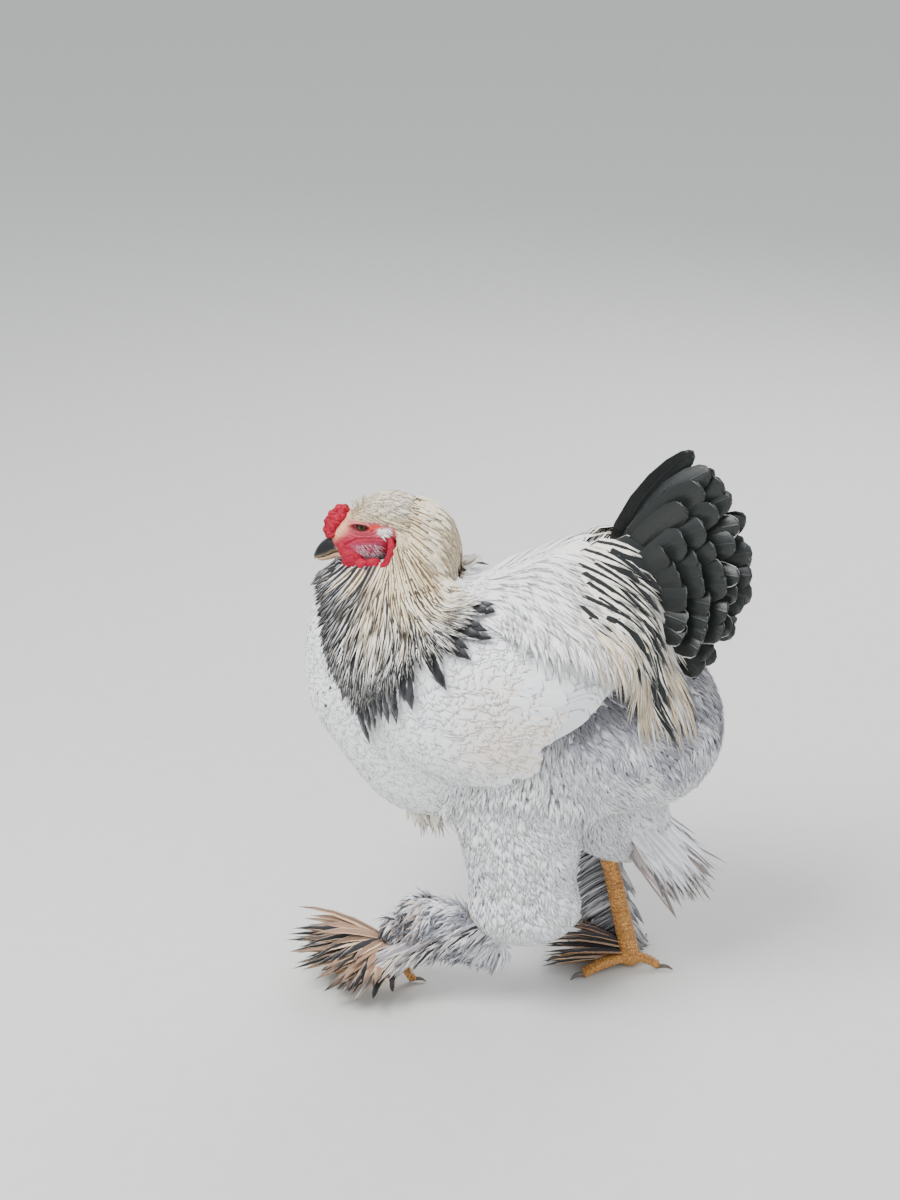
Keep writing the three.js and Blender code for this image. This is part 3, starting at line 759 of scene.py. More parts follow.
PLAIN = -0.5  # the stripe of a feather that has none
SOFT = {"thick": 0.2, "cup": 0.1}


@dataclass
class Flock:
    """Many feathers of one cut: their spines, the way their upper sides look, and their colours."""

    cut: Cut
    spine: Array
    faces: Array
    width: Array
    edge: Array
    centre: Array
    stripe: Array
    stop: Array
    start: Array | float = -1.0
    thick: float = 0.35
    cup: float = 0.3
    roll: Array | float = 0.0

    def rings(self) -> Array:
        """Give the points round each feather: left edge, crown, right edge and keel of each ring."""
        ways = np.gradient(self.spine, axis=1)
        ways = unit(ways)
        side = unit(np.cross(ways, self.faces))
        up = np.cross(side, ways)
        angle = np.broadcast_to(np.asarray(self.roll, float).reshape(-1, 1, 1), (len(side), 1, 1))
        across = side * np.cos(angle) + up * np.sin(angle)
        above = up * np.cos(angle) - side * np.sin(angle)
        half = (self.width[:, None] * np.array(self.cut.shares) / 2)[..., None]
        taper = np.clip(1.25 - np.array(self.cut.rings), 0.3, 1)[None, :, None]
        crown = above * self.thick * taper / 2
        droop = above * half * self.cup
        return np.stack(
            [
                self.spine - across * half - droop,
                self.spine + crown,
                self.spine + across * half - droop,
                self.spine - crown,
            ],
            axis=2,
        )


def tile(count: int, stride: int, pattern: Array) -> Array:
    """Repeat a pattern of point numbers for each feather."""
    return (np.arange(count)[:, None, None] * stride + pattern[None]).reshape(-1, pattern.shape[1])


class Coat:
    """A coat piece: feathers of several flocks joined in one mesh with their maps and colours."""

    def __init__(self, name: str, centre: Sequence[float], seed: int) -> None:
        """Start a coat.

        Args:
            name: The piece's name.
            centre: The middle of the skin that it grows from, for the bake map.
            seed: The seed of the small differences between feathers.
        """
        self.name = name
        self.middle = np.asarray(centre, float)
        self.random = np.random.default_rng(seed)
        self.flocks: list[Flock] = []

    def lay(
        self,
        ground: Ground,
        roots: Array,
        flow: Flow,
        cut: Cut,
        length: Array,
        heights: Sequence[float],
        root_ground: Ground | None = None,
        stray: float = 0.1,
        unruly: float = 0.2,
        swirl: float = 0.0,
    ) -> Shell:
        """Lay spines over the ground from their roots.

        Args:
            ground: The surface that they lie on.
            roots: Where they start.
            flow: The lie of the coat, from a place and a share of the length.
            cut: The feathers' outline, for the places of the rings.
            length: Each feather's length.
            heights: Height over the ground at the root, just after it, and at the tip.
            root_ground: The surface that the roots stand in.
            stray: How far feathers turn aside, as a share.
            unruly: How much their heights differ, as a share.
            swirl: How far neighbours turn and rise together, as a share.

        Returns:
            The spines and the ways out of the ground along them.
        """
        count = len(roots)
        grown = 1 + unruly * self.random.uniform(-1, 1, count)
        aside = self.random.normal(0, stray, (count, 1))
        start = (root_ground or ground).settle(roots, heights[0])
        if swirl:
            aside += swirl * ripple(start, 19, 1)[:, None]
            grown += swirl * ripple(start, 13, 2)
        spine, faces = [start], [(root_ground or ground).slope(start)]
        for before, here in zip(cut.rings, cut.rings[1:]):
            out = faces[-1]
            way = flow(spine[-1], here)
            way = unit(way - dot(way, out) * out)
            way = unit(way + np.cross(way, out) * aside)
            spot = spine[-1] + way * (length * (here - before))[:, None]
            height = blend(heights[1], heights[2], here**1.5) * grown
            spine.append(ground.settle(spot, height, 2))
            faces.append(ground.slope(spine[-1]))
        return np.stack(spine, axis=1), np.stack(faces, axis=1)

    def add(self, *parts: object, **more: object) -> None:
        """Add a flock, given its cut, spines, faces, widths, colours and stripe."""
        self.flocks.append(Flock(*parts, **more))

    def piece(self, material: Material, slot: str) -> Piece:
        """Join the flocks into one closed-feathered mesh."""
        points, quads, tris, maps, bakes, count = [], [], [], [], [], 0
        stains: dict[str, list[Array]] = {"edge": [], "centre": [], "pattern": []}
        for flock in self.flocks:
            rings = flock.rings()
            n, r = rings.shape[:2]
            stride = 4 * (r - 1) + 1
            apex = flock.spine[:, -1:, :]
            spots = np.concatenate([rings[:, :-1].reshape(n, -1, 3), apex], axis=1)
            points.append(spots.reshape(-1, 3))
            ring_faces = [
                (4 * i + j, 4 * i + (j + 1) % 4, 4 * i + 4 + (j + 1) % 4, 4 * i + 4 + j)
                for i in range(r - 2)
                for j in range(4)
            ]
            last = 4 * (r - 2)
            quads.append(tile(n, stride, np.array([*ring_faces, (0, 3, 2, 1)])) + count)
            tips = np.array([(last + j, last + (j + 1) % 4, last + 4) for j in range(4)])
            tris.append(tile(n, stride, tips) + count)
            along = np.append(np.repeat(flock.cut.rings[:-1], 4), 1.0)
            across = np.append(np.tile([0, 0.5, 1, 0.5], r - 1), 0.5)
            maps.append(np.tile(columns(across, along), (n, 1)))
            bakes.append(self.bake_map(flock.spine[:, 0], across, along))
            chance = self.random.random(n)
            marks = [flock.stripe * np.ones(n), flock.stop * np.ones(n), chance, flock.start * np.ones(n)]
            pattern = np.stack(marks, axis=1)
            for key, colours in (("edge", flock.edge), ("centre", flock.centre), ("pattern", pattern)):
                whole = np.broadcast_to(colours, (n, np.shape(colours)[-1]))
                stains[key].append(np.repeat(whole, stride, axis=0))
            count += n * stride
        mesh = bpy.data.meshes.new(self.name)
        sides = np.concatenate(maps)[:, 0] != 0.5
        self.fill(mesh, np.concatenate(points), np.concatenate(quads), np.concatenate(tris), sides)
        corners = np.empty(len(mesh.loops), int)
        mesh.loops.foreach_get("vertex_index", corners)
        for name, parts in (("Vane", maps), ("OFBake", bakes)):
            layer = mesh.uv_layers.new(name=name)
            layer.data.foreach_set("uv", np.concatenate(parts)[corners].ravel())
        for name, parts in stains.items():
            stain(mesh, name, np.concatenate(parts))
        made = object_of(self.name, mesh, material)
        return made

    @staticmethod
    def fill(mesh: Mesh, points: Array, quads: Array, tris: Array, sides: Array) -> None:
        """Write points and faces into an empty mesh, sharp along the sides of the vanes."""
        mesh.vertices.add(len(points))
        mesh.vertices.foreach_set("co", ((points + SHIFT) / 1000).ravel())
        corners = np.concatenate([quads.ravel(), tris.ravel()])
        mesh.loops.add(len(corners))
        mesh.loops.foreach_set("vertex_index", corners)
        mesh.polygons.add(len(quads) + len(tris))
        starts = np.concatenate([np.arange(len(quads)) * 4, len(quads) * 4 + np.arange(len(tris)) * 3])
        mesh.polygons.foreach_set("loop_start", starts)
        mesh.update(calc_edges=True)
        mesh.validate()
        mesh.shade_smooth()
        ends = np.empty(2 * len(mesh.edges), int)
        mesh.edges.foreach_get("vertices", ends)
        layer = mesh.attributes.new("sharp_edge", "BOOLEAN", "EDGE")
        layer.data.foreach_set("value", sides[ends.reshape(-1, 2)].all(axis=1))

    def bake_map(self, roots: Array, across: Array, along: Array) -> Array:
        """Give each feather a small patch where its root lies on an unrolled ball round the skin."""
        ways = unit(roots - self.middle)
        turn = np.arctan2(ways[:, 0], -ways[:, 1]) / (2 * math.pi) + 0.5
        rise = np.arccos(np.clip(ways[:, 2], -1, 1)) / math.pi
        middle = columns(0.01 + 0.98 * turn, 0.01 + 0.98 * rise)
        patch = (columns(across, along) - 0.5) * 0.003
        return (middle[:, None] + patch[None]).reshape(-1, 2)


def scattered(
    ground: Ground, low: Sequence[float], high: Sequence[float], gap: float, seed: int, keep: Callable
) -> Array:
    """Spread points evenly over a surface, no two nearer than a gap.

    Args:
        ground: The surface.
        low: The lowest corner of the box to spread them in.
        high: The highest corner.
        gap: The least distance between two points.
        seed: The seed of the draw.
        keep: Tells from their places which points are wanted.

    Returns:
        The points.
    """
    random = np.random.default_rng(seed)
    low, high = np.asarray(low, float), np.asarray(high, float)
    volume = float(np.prod(high - low))
    draw = min(int(volume / gap**3 * 5), 900_000)
    points = random.uniform(low, high, (draw, 3))
    points = points[np.abs(ground.beyond(points)) < gap * 0.8]
    points = ground.settle(points, 0.0, 2)
    points = points[keep(points)]
    return points[thinned(points, gap)]


def thinned(points: Array, gap: float) -> Array:
    """Choose points so that no two lie nearer than a gap."""
    cells: dict[tuple[int, int, int], list[int]] = {}
    kept = []
    keys = np.floor(points / gap).astype(int)
    limit = gap * gap
    near = [(x, y, z) for x in (-1, 0, 1) for y in (-1, 0, 1) for z in (-1, 0, 1)]
    places = points.tolist()
    for i, (a, b, c) in enumerate(keys.tolist()):
        x, y, z = places[i]
        crowded = False
        for da, db, dc in near:
            for j in cells.get((a + da, b + db, c + dc), ()):
                px, py, pz = places[j]
                if (px - x) ** 2 + (py - y) ** 2 + (pz - z) ** 2 < limit:
                    crowded = True
                    break
            if crowded:
                break
        if not crowded:
            cells.setdefault((a, b, c), []).append(i)
            kept.append(i)
    return np.array(kept, int)


def jitter(random: np.random.Generator, count: int, share: float) -> Array:
    """Draw factors round one."""
    return 1 + share * random.uniform(-1, 1, count)


# Sub-assemblies


class Markings:
    """Where each colour of the plumage and of the face lies, for skin and coat alike."""

    FACE = (
        (-196, 468), (-186, 484), (-178, 500), (-173, 512), (-170, 522), (-163, 512), (-163, 504),
        (-151, 504.5), (-141, 506), (-130, 506), (-124, 504), (-116, 502), (-115, 488), (-115, 474),
        (-120, 462), (-127, 452), (-140, 447), (-156, 447), (-166, 455), (-176, 462), (-190, 458),
    )
    FRINGE_Y = (-220, -205, -192, -172, -152, -143, -122, -99, -81, -60, -40, -26, -14)
    FRINGE_Z = (438, 424, 402, 352, 322, 303, 322, 338, 356, 368, 386, 402, 440)

    @classmethod
    def bare(cls, points: Array, form: Anatomy) -> Array:
        """Tell which points of the head are bare skin."""
        x, y, z = points.T
        return inside(cls.FACE, y, z) & (form.head.beyond(points) < form.neck.beyond(points) + 7)

    @classmethod
    def over_fringe(cls, spine: Array) -> Array:
        """Measure how far spines stand from the edge of the hackle, below and at the nape."""
        x, y, z = spine[..., 0], spine[..., 1], spine[..., 2]
        near, far = 0.9 * np.clip(x - 20, 0, 40), 0.5 * np.clip(-x - 20, 0, 40)
        behind = -46 - y + near + far + 30 * ease(420, 400, z)
        fringe = np.interp(y + 14 * (x < 0), cls.FRINGE_Y, cls.FRINGE_Z)
        return np.minimum(z - fringe, behind)

    @staticmethod
    def fluffy(points: Array) -> Array:
        """Rise to 1 where the coat of the trunk turns from flat feathers to fluff."""
        x, y, z = points.T
        edge = 318 + 0.62 * np.clip(y - 20, -90, 90)
        flank = ease(edge + 6, edge - 10, z) * ease(-62, -40, y)
        return np.maximum(flank, ease(112, 128, y) * ease(430, 400, z))

    @staticmethod
    def ground_tone(points: Array) -> Array:
        """Colour the skin from its place, as the coat over it is."""
        x, y, z = points.T
        tone = np.broadcast_to(WHITE, points.shape).copy()
        neck = (ease(392, 420, z) * ease(-30, -60, y))[:, None]
        tone = blend(tone, BEIGE, neck)
        throat = (ease(-150, -175, y) * ease(396, 412, z))[:, None]
        tone = blend(tone, SLATE, throat)
        tail = (ease(95, 120, y) * ease(430, 450, z))[:, None]
        tone = blend(tone, SLATE, tail)
        under = (ease(120, 180, y) * ease(330, 300, z))[:, None]
        return blend(tone, LAVENDER, under)


@dataclass
class Skin:
    """One skin under the whole coat, from the neck to the thighs."""

    anatomy: Anatomy
    depth: float = 3.2
    cell: float = 3.0

    def build(self) -> Piece:
        """Melt the rounded forms into one skin and colour it as the coat over it."""
        form = self.anatomy
        shells = [
            wrapped(form.torso, (0, 0, 330), 5, -self.depth),
            wrapped(form.neck, (0, -116, 432), 4, -self.depth),
            wrapped(form.saddle, (0, 66, 412), 4, -self.depth),
            wrapped(form.rump, TAIL_ROOT + [0, 14, 2], 4, -self.depth),
        ]
        for side, wing in form.wings.items():
            shells.append(wrapped(wing, (side.value * 94, -8, 354), 4, -self.depth * 0.6))
        for leg in form.legs.values():
            middle = leg.hip + (leg.bulb - leg.hip) * 0.55
            shells.append(wrapped(leg.thigh, middle, 4, -self.depth))
        left = form.legs[Side.LEFT]
        shells.append(wrapped(left.boot, left.hock + (left.ball - left.hock) * 0.5, 4, -self.depth))
        mesh = remeshed("skin", shells, self.cell)
        stain(mesh, "tone", Markings.ground_tone(spots_of(mesh)))
        made = object_of("skin", mesh, SkinFinish("plumage_ground").material())
        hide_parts("torso", "left_thigh", "right_thigh")
        return made


@dataclass(frozen=True)
class SkinFinish:
    """The skin under the coat, downy and coloured as the feathers over it."""

    name: str

    def material(self) -> Material:
        """Build the material."""
        paint = Paint(self.name, Roughness=0.9)
        place = paint.place()
        lint = paint.noise(place, 400, 4, 0.7)
        paint.feed("Base Color", paint.tint(paint.attribute("tone"), 0.8 + lint * 0.25))
        paint.bump(lint, 0.0008)
        return paint.material


@dataclass
class BodyCoat:
    """The white contour feathers of the breast, shoulders and back, and the fluff below them."""

    anatomy: Anatomy
    gap: float = 5.2

    def build(self) -> list[Piece]:
        """Lay the flat feathers, and then the fluff of the flanks and the stern."""
        return [self.contour(), self.fluff()]

    def contour(self) -> Piece:
        """Lay the flat feathers from the breast over the shoulders and the back."""
        form = self.anatomy
        coat = Coat("body_coat", (0, 0, 330), 11)
        ground = Body([form.mantle, form.neck], 20)

        def wanted(points: Array) -> Array:
            """Leave out what the neck, the saddle and the long wing feathers cover, and the fluffy part."""
            x, y, z = points.T
            hidden = (form.neck.beyond(points) < -24) | ((y > 60) & (z > 380) & (np.abs(x) < 76))
            hidden |= (y > 20 + 0.5 * (z - 330)) & (np.abs(x) > 76)
            return ~hidden & (Markings.fluffy(points) < 0.6)

        def bib(points: Array) -> Array:
            """Keep the front of the neck below the hackle's edge."""
            below = Markings.over_fringe(points) < 18
            return (points[:, 1] < -60) & below & (form.mantle.beyond(points) > -4)

        roots = scattered(form.mantle, (-126, -220, 180), (126, 215, 480), self.gap, 3, wanted)
        front = scattered(form.neck, (-110, -225, 320), (110, -60, 460), self.gap, 4, bib)
        roots = np.concatenate([roots, front])
        count = len(roots)
        x, y, z = roots.T
        length = blend(20, 34, ease(-180, 10, y)) * jitter(coat.random, count, 0.14)

        def flow(spot: Array, share: float) -> Array:
            """Lead the feathers down in front, back along the sides and outwards over the back."""
            x, y, z = spot.T
            back = blend(0.35, 1.0, ease(-190, 0, y))
            high = ease(380, 420, z) * ease(-80, -30, y)
            rise = blend(-0.75, 0.15, ease(-100, -10, y) * ease(292, 330, z))
            return columns(0.35 * np.sign(x) * high, back, rise - 0.2 * high)

        spine, faces = coat.lay(ground, roots, flow, ROUNDED, length, (-3, -0.8, 0.4), None, 0.12, 0.3, 0.3)
        front = ease(-150, -185, y) * ease(28, 60, np.abs(x)) + ease(-195, -206, y)
        spotted = coat.random.random(count) < 0.16 * np.clip(front, 0, 1) * ease(225, 260, z)
        bow = ease(-70, -30, y) * ease(60, 20, y) * ease(398, 372, z) * ease(290, 316, z)
        mood = coat.random.random(count)
        streaked = coat.random.random(count) < 0.25 * bow
        stripe = np.where(spotted, coat.random.uniform(0.2, 0.45, count), np.where(streaked, 0.14, PLAIN))
        cloud = 0.5 + 0.5 * ripple(roots, 30)
        edge = blend(WHITE, SHADE_WHITE, (0.5 * mood * cloud)[:, None])
        warm = bow * np.clip(0.7 + 0.7 * ripple(roots, 11, 5) + 0.3 * mood, 0, 1)
        edge = blend(edge, blend(IVORY, RUST, 0.3), (0.7 * warm)[:, None])
        centre = np.where(spotted[:, None], BLACK, blend(BEIGE, IVORY, 0.35))
        start = np.where(spotted, 0.72, 0.1)
        flat = {"thick": 0.15, "cup": 0.1}
        coat.add(ROUNDED, spine, faces, length * 0.62, edge, centre, stripe, 0.9, start=start, **flat)
        part = coat.random.random(count) < 0.6
        middle = roots[part] + coat.random.uniform(-3, 3, (int(part.sum()), 3))
        reach = length[part] * coat.random.uniform(0.4, 0.8, len(middle))
        laid = coat.lay(ground, middle, flow, STRAND, reach, (-2, 0.0, 0.9), None, 0.25, 0.5, 0.4)
        wide = blend(2.5, 5.5, coat.random.random(len(middle)))
        coat.add(STRAND, *laid, wide, edge[part], edge[part], PLAIN, 0.9, **flat)
        x, y = coat.random.uniform(-46, 46, 150), coat.random.uniform(-104, -72, 150)
        tuft = columns(x, y, 200.0)
        reach = coat.random.uniform(12, 28, 150)
        Crown.stand_up(coat, form.torso, tuft, np.array([0, 0.1, -1]), reach, IVORY, 5)
        finish = FeatherFinish("white_feather", contrast=0.08, ragged=0.16)
        return coat.piece(finish.material(), "white_plumage")

    def fluff(self) -> Piece:
        """Lay long soft feathers over the flanks and the stern."""
        form = self.anatomy
        coat = Coat("flank_coat", (0, 0, 330), 12)
        ground = Body([form.torso, *(leg.thigh for leg in form.legs.values())], 30)

        def wanted(points: Array) -> Array:
            """Keep the flanks under the wings, the abdomen and the stern."""
            hidden = form.saddle.beyond(points) < -8
            for leg in form.legs.values():
                hidden |= leg.thigh.beyond(points) < -6
            return ~hidden & (Markings.fluffy(points) > 0.2)

        roots = scattered(form.torso, (-110, -80, 170), (110, 215, 440), 3.4, 15, wanted)
        count = len(roots)
        x, y, z = roots.T
        length = blend(16, 34, coat.random.random(count) ** 1.4)

        def flow(spot: Array, share: float) -> Array:
            """Lead the fluff down and back."""
            back = blend(0.25, 0.9, ease(20, 150, spot[:, 1])) - 0.2 * share
            return columns(0, back, -0.9)

        heights = (-4, -0.5, 2.2)
        laid = coat.lay(ground, roots, flow, STRAND, length, heights, form.torso, 0.25, 0.5, 0.6)
        dusk = ease(10, 120, y) * ease(240, 300, z)
        cloud = np.clip(0.5 + 0.8 * ripple(roots, 17), 0, 1)
        mood = coat.random.random(count)
        grey = dusk * cloud * (0.5 + 0.5 * mood) + 0.25 * mood * cloud
        edge = blend(WHITE, LAVENDER, np.clip(1.5 * grey, 0, 1)[:, None])
        grey_and_shadow = np.clip(grey - 0.5, 0, 0.4) * 2.2 * ease(60, 190, y)
        grey_and_shadow = np.maximum(grey_and_shadow, ease(130, 165, y) * ease(308, 345, z) * (0.4 + 0.6 * mood))
        # Painted shadow along the wing's lower edge and a darker patch under the wing's tip, mixed with the
        # grey of the fluff.
        line = 318 + 0.62 * np.clip(y - 20, -90, 90)
        shadow = bump_of(z - line + 6, 11) * ease(-50, 0, y) * ease(135, 115, y)
        tip = ease(30, 70, y) * ease(150, 125, y) * ease(-34, -12, z - line)
        grey_and_shadow = np.maximum(grey_and_shadow, np.maximum(0.6 * shadow, 0.95 * tip))
        edge = blend(edge, blend(GREY, SLATE, 0.5), grey_and_shadow[:, None])
        width = blend(2.4, 5.6, coat.random.random(count) ** 1.5)
        coat.add(STRAND, *laid, width, edge, edge, PLAIN, 0.5, **SOFT)
        return coat.piece(FeatherFinish("flank_fluff", contrast=0.12, barbs=30).material(), "down")


@dataclass
class Hackle:
    """The long narrow feathers of the neck, pale above and striped with black below."""

    anatomy: Anatomy

    def __post_init__(self) -> None:
        """Find the surfaces that the hackle grows from and lies on."""
        form = self.anatomy
        self.stand = Body([form.neck, form.head], 12)
        self.ground = Body([form.neck, form.head, form.mantle.raised(3)], 20)

    @staticmethod
    def flow(spot: Array, share: float) -> Array:
        """Lead the feathers down, swept back at the nape and over the crown."""
        out = unit(spot * [1, 1, 0] + [0, 108, 0])
        way = unit((spot - [0, -132, 520]) * [0, 1, 1])
        way[:, 1] += 0.25 * ease(-80, -30, spot[:, 1])
        return way + out * [0.25, 0, 0]

    def build(self) -> Piece:
        """Lay the fringe first and then the hackle over it."""
        coat = Coat("hackle", (0, -116, 420), 21)
        self.fringe(coat)
        self.cape(coat)
        made = coat.piece(FeatherFinish("hackle_feather", ragged=0.3).material(), "cream_plumage")
        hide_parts("neck")
        return made

    def trimmed(
        self, coat: Coat, roots: Array, length: Array, heights: tuple, above: Array, stray: float
    ) -> tuple:
        """Lay feathers that end at the hackle's lower edge.

        Args:
            coat: The coat that they belong to.
            roots: Their roots.
            length: Their lengths where nothing cuts them short.
            heights: Heights over the ground at the root, just after it, and at the tip.
            above: How far over the edge each one ends.
            stray: How far feathers turn aside.

        Returns:
            The spines, the ways out, and which feathers are long enough to keep.
        """
        spine, _ = coat.lay(self.ground, roots, self.flow, LANCE, length, heights, self.stand, 0.0)
        over = Markings.over_fringe(spine) - above[:, None]
        under = over < 0
        step = np.argmax(under, axis=1)
        rows = np.arange(len(roots))
        rings = np.array(LANCE.rings)
        before = np.maximum(step - 1, 0)
        gone = over[rows, before] / np.maximum(over[rows, before] - over[rows, step], 1e-6)
        share = blend(rings[before], rings[step], np.clip(gone, 0, 1))
        share = np.where(under.any(axis=1), np.where(step == 0, 0, share), 1)
        kept = share * length > 16
        heights = [h[kept] if np.ndim(h) else h for h in heights]
        length = (length * share)[kept]
        parts = coat.lay(
            self.ground, roots[kept], self.flow, LANCE, length, heights, self.stand, stray, 0.12
        )
        return *parts, kept

    def fringe(self, coat: Coat) -> None:
        """Lay the broad black feathers at the lower edge, over the shoulders."""
        angles = np.radians(np.linspace(32, 116, 12))
        turn = np.concatenate([angles, -angles[5:]])
        row = np.repeat([0, 1], len(turn))
        turn = np.concatenate([turn, turn + 0.07]) + coat.random.normal(0, 0.03, 2 * len(turn))
        out = columns(np.sin(turn), np.cos(turn), 0)
        high = 392 + 26 * np.cos(turn) + 14 * row
        roots = self.stand.settle(columns(62 * out[:, 0], 62 * out[:, 1] - 108, high), 0.0)
        count = len(roots)
        length = np.full(count, 125.0)
        above = coat.random.uniform(-7, 7, count) + 15 * row
        spine, faces, kept = self.trimmed(coat, roots, length, (-3, 1, 4), above, 0.08)
        number = int(kept.sum())
        width = 14.5 * jitter(coat.random, number, 0.15)
        edge = blend(WHITE, GREY, coat.random.uniform(0, 0.3, (number, 1)))
        centre = blend(BLACK, SLATE, coat.random.uniform(0, 0.5, (number, 1)))
        coat.add(LEAF, spine, faces, width, edge, centre, 0.76, 0.99, cup=0.15)

    def cape(self, coat: Coat) -> None:
        """Lay the narrow striped feathers from the head down."""
        form = self.anatomy

        def wanted(points: Array) -> Array:
            """Keep the neck behind the face and over the shoulders."""
            x, y, z = points.T
            crown = (y < -104) & (z > 484)
            return ~Markings.bare(points, form) & ~crown & (z > 372) & (form.torso.beyond(points) > -14)

        roots = scattered(self.stand, (-90, -215, 360), (90, -30, 530), 3.7, 5, wanted)
        count = len(roots)
        z = roots[:, 2]
        out = unit(roots * [1, 1, 0] + [0, 108, 0])
        forward = (1 - out[:, 1]) / 2
        lower = ease(520, 405, z)
        length = blend(20, 100, lower**0.9) * blend(1.0, 0.7, forward**3) * jitter(coat.random, count, 0.14)
        above = np.interp(forward, (0, 0.2, 0.5, 0.8), (12, 24, 34, 20))
        above += np.abs(coat.random.normal(0, 9, count))
        heights = (-3, 2, blend(2.0, 8.5, ease(490, 440, z)))
        spine, faces, kept = self.trimmed(coat, roots, length, heights, above, 0.05)
        number = int(kept.sum())
        lower, forward, z = lower[kept], forward[kept], z[kept] + coat.random.normal(0, 6, number)
        width = blend(4.4, 9.0, lower) * jitter(coat.random, number, 0.2)
        low = ease(468, 415, z)[:, None]
        mood = coat.random.random((number, 1))
        edge = blend(blend(BEIGE, CREAM, mood**0.6), blend(IVORY, WHITE, mood), low)
        throat = (ease(0.74, 0.95, forward) * ease(474, 452, z) * ease(392, 418, z))[:, None]
        edge = blend(edge, blend(GREY, WHITE, mood**2), throat)
        centre = blend(blend(TAUPE, SLATE, 0.2 * mood), BLACK, ease(482, 425, z)[:, None])
        centre = blend(centre, BLACK, throat)
        centre = blend(centre, IVORY, ease(0.3, 0.15, forward)[:, None])
        stripe = blend(0.3, 0.42, ease(470, 400, z)) + coat.random.normal(0, 0.1, number)
        stripe = np.clip(stripe + 0.35 * throat[:, 0], 0.08, 0.92)
        coat.add(LANCE, spine, faces, width, edge, centre, stripe, 0.97, thick=0.2, cup=0.14)


@dataclass
class Crown:
    """Small feathers over the head, short at the comb and longer towards the nape."""

    anatomy: Anatomy

    def build(self) -> Piece:
        """Cover the head outside the bare face."""
        form = self.anatomy
        coat = Coat("crown_coat", (0, -135, 490), 25)
        ground = Body([form.head, form.neck], 12)

        def wanted(points: Array) -> Array:
            """Keep the head behind and over the bare face."""
            x, y, z = points.T
            return ~Markings.bare(points, form) & (z > 462) & (y > -178)

        roots = scattered(ground, (-40, -190, 465), (40, -60, 535), 1.9, 6, wanted)
        count = len(roots)
        x, y, z = roots.T
        back = ease(-165, -95, y)
        length = blend(7, 24, back) * jitter(coat.random, count, 0.2)

        def flow(spot: Array, share: float) -> Array:
            """Lead the feathers back from the comb, and down behind the ear."""
            down = 0.25 + 0.9 * ease(500, 480, spot[:, 2])
            return columns(0.1 * np.sign(spot[:, 0]), 1, -down)

        spine, faces = coat.lay(ground, roots, flow, STRAND, length, (-1.5, 0.2, 1.4), None, 0.12, 0.3, 0.2)
        mood = coat.random.random((count, 1))
        edge = blend(blend(BEIGE, CREAM, mood**0.5), IVORY, (ease(505, 522, z) * 0.6)[:, None])
        brow = (ease(-118, -145, y) * ease(518, 506, z))[:, None]
        edge = blend(edge, blend(BEIGE, GREY, 0.5), 0.45 * brow * mood)
        centre = blend(TAUPE, SLATE, 0.3 * mood)
        stripe = coat.random.uniform(-0.2, 0.28, count)
        width = blend(1.9, 4.0, back) * jitter(coat.random, count, 0.2)
        coat.add(STRAND, spine, faces, width, edge, centre, stripe, 0.85, thick=0.3)
        self.throat(coat)
        self.tufts(coat)
        return coat.piece(FeatherFinish("crown_feather", barbs=16).material(), "cream_plumage")

    def throat(self, coat: Coat) -> None:
        """Cover the throat under the wattles with black and grey feathers."""
        form = self.anatomy
        ground = Body([form.neck, form.head], 12)

        def wanted(points: Array) -> Array:
            """Keep what lies under the bare face."""
            return ~Markings.bare(points, form) & (points[:, 2] < 462 - 0.25 * (points[:, 1] + 182))

        roots = scattered(ground, (-30, -182, 430), (30, -122, 460), 2.6, 8, wanted)
        count = len(roots)
        length = coat.random.uniform(14, 30, count)

        def flow(spot: Array, share: float) -> Array:
            """Lead the feathers down and back from the chin."""
            side = 0.5 * np.sign(spot[:, 0])
            return columns(side, 0.35, -1)

        spine, faces = coat.lay(ground, roots, flow, LANCE, length, (-2, 0, 2.5), None, 0.1, 0.2, 0.15)
        mood = coat.random.random((count, 1))
        edge = blend(blend(GREY, SLATE, 0.5), WHITE, mood**3)
        width = 4 * jitter(coat.random, count, 0.3)
        coat.add(LANCE, spine, faces, width, edge, BLACK, 0.6, 0.95)

    def tufts(self, coat: Coat) -> None:
        """Stand small white feathers up behind the comb, and lay white ones over the ear."""
        random = coat.random
        head = self.anatomy.head
        count = 110
        x, y = random.uniform(-11, 11, count), random.uniform(-173, -154, count)
        roots = columns(x, y, 521.0)
        way = np.array([0, -0.2, 1.0])
        self.stand_up(coat, head, roots, way, random.uniform(6, 12, count), IVORY, 1.6)
        for side in Side:
            y, z = random.uniform(-133, -123, 40), random.uniform(491, 499, 40)
            ear = columns(side.value * 30.0, y, z)
            way = np.array([side.value * 0.1, 0.85, -0.3])
            self.stand_up(coat, head, ear, way, random.uniform(5, 10, 40), WHITE, 1.5)

    @staticmethod
    def stand_up(
        coat: Coat, ground: Ground, roots: Array, way: Array, length: Array, colour: Array, width: float
    ) -> None:
        """Stand feathers on a surface, all along one way."""
        count = len(roots)
        start = ground.settle(roots, -1.0, 6)
        ways = unit(way + coat.random.normal(0, 0.25, (count, 3)))
        share = np.array(STRAND.rings)
        bend = ground.slope(start)[:, None] * (share * (1 - share) * 2.0)[None, :, None]
        spine = start[:, None] + ways[:, None] * (length[:, None] * share)[..., None] + bend
        faces = np.broadcast_to(ground.slope(start)[:, None], spine.shape)
        widths = width * jitter(coat.random, count, 0.3)
        coat.add(STRAND, spine, faces, widths, colour, BEIGE, -0.5, 1.0, thick=0.3)


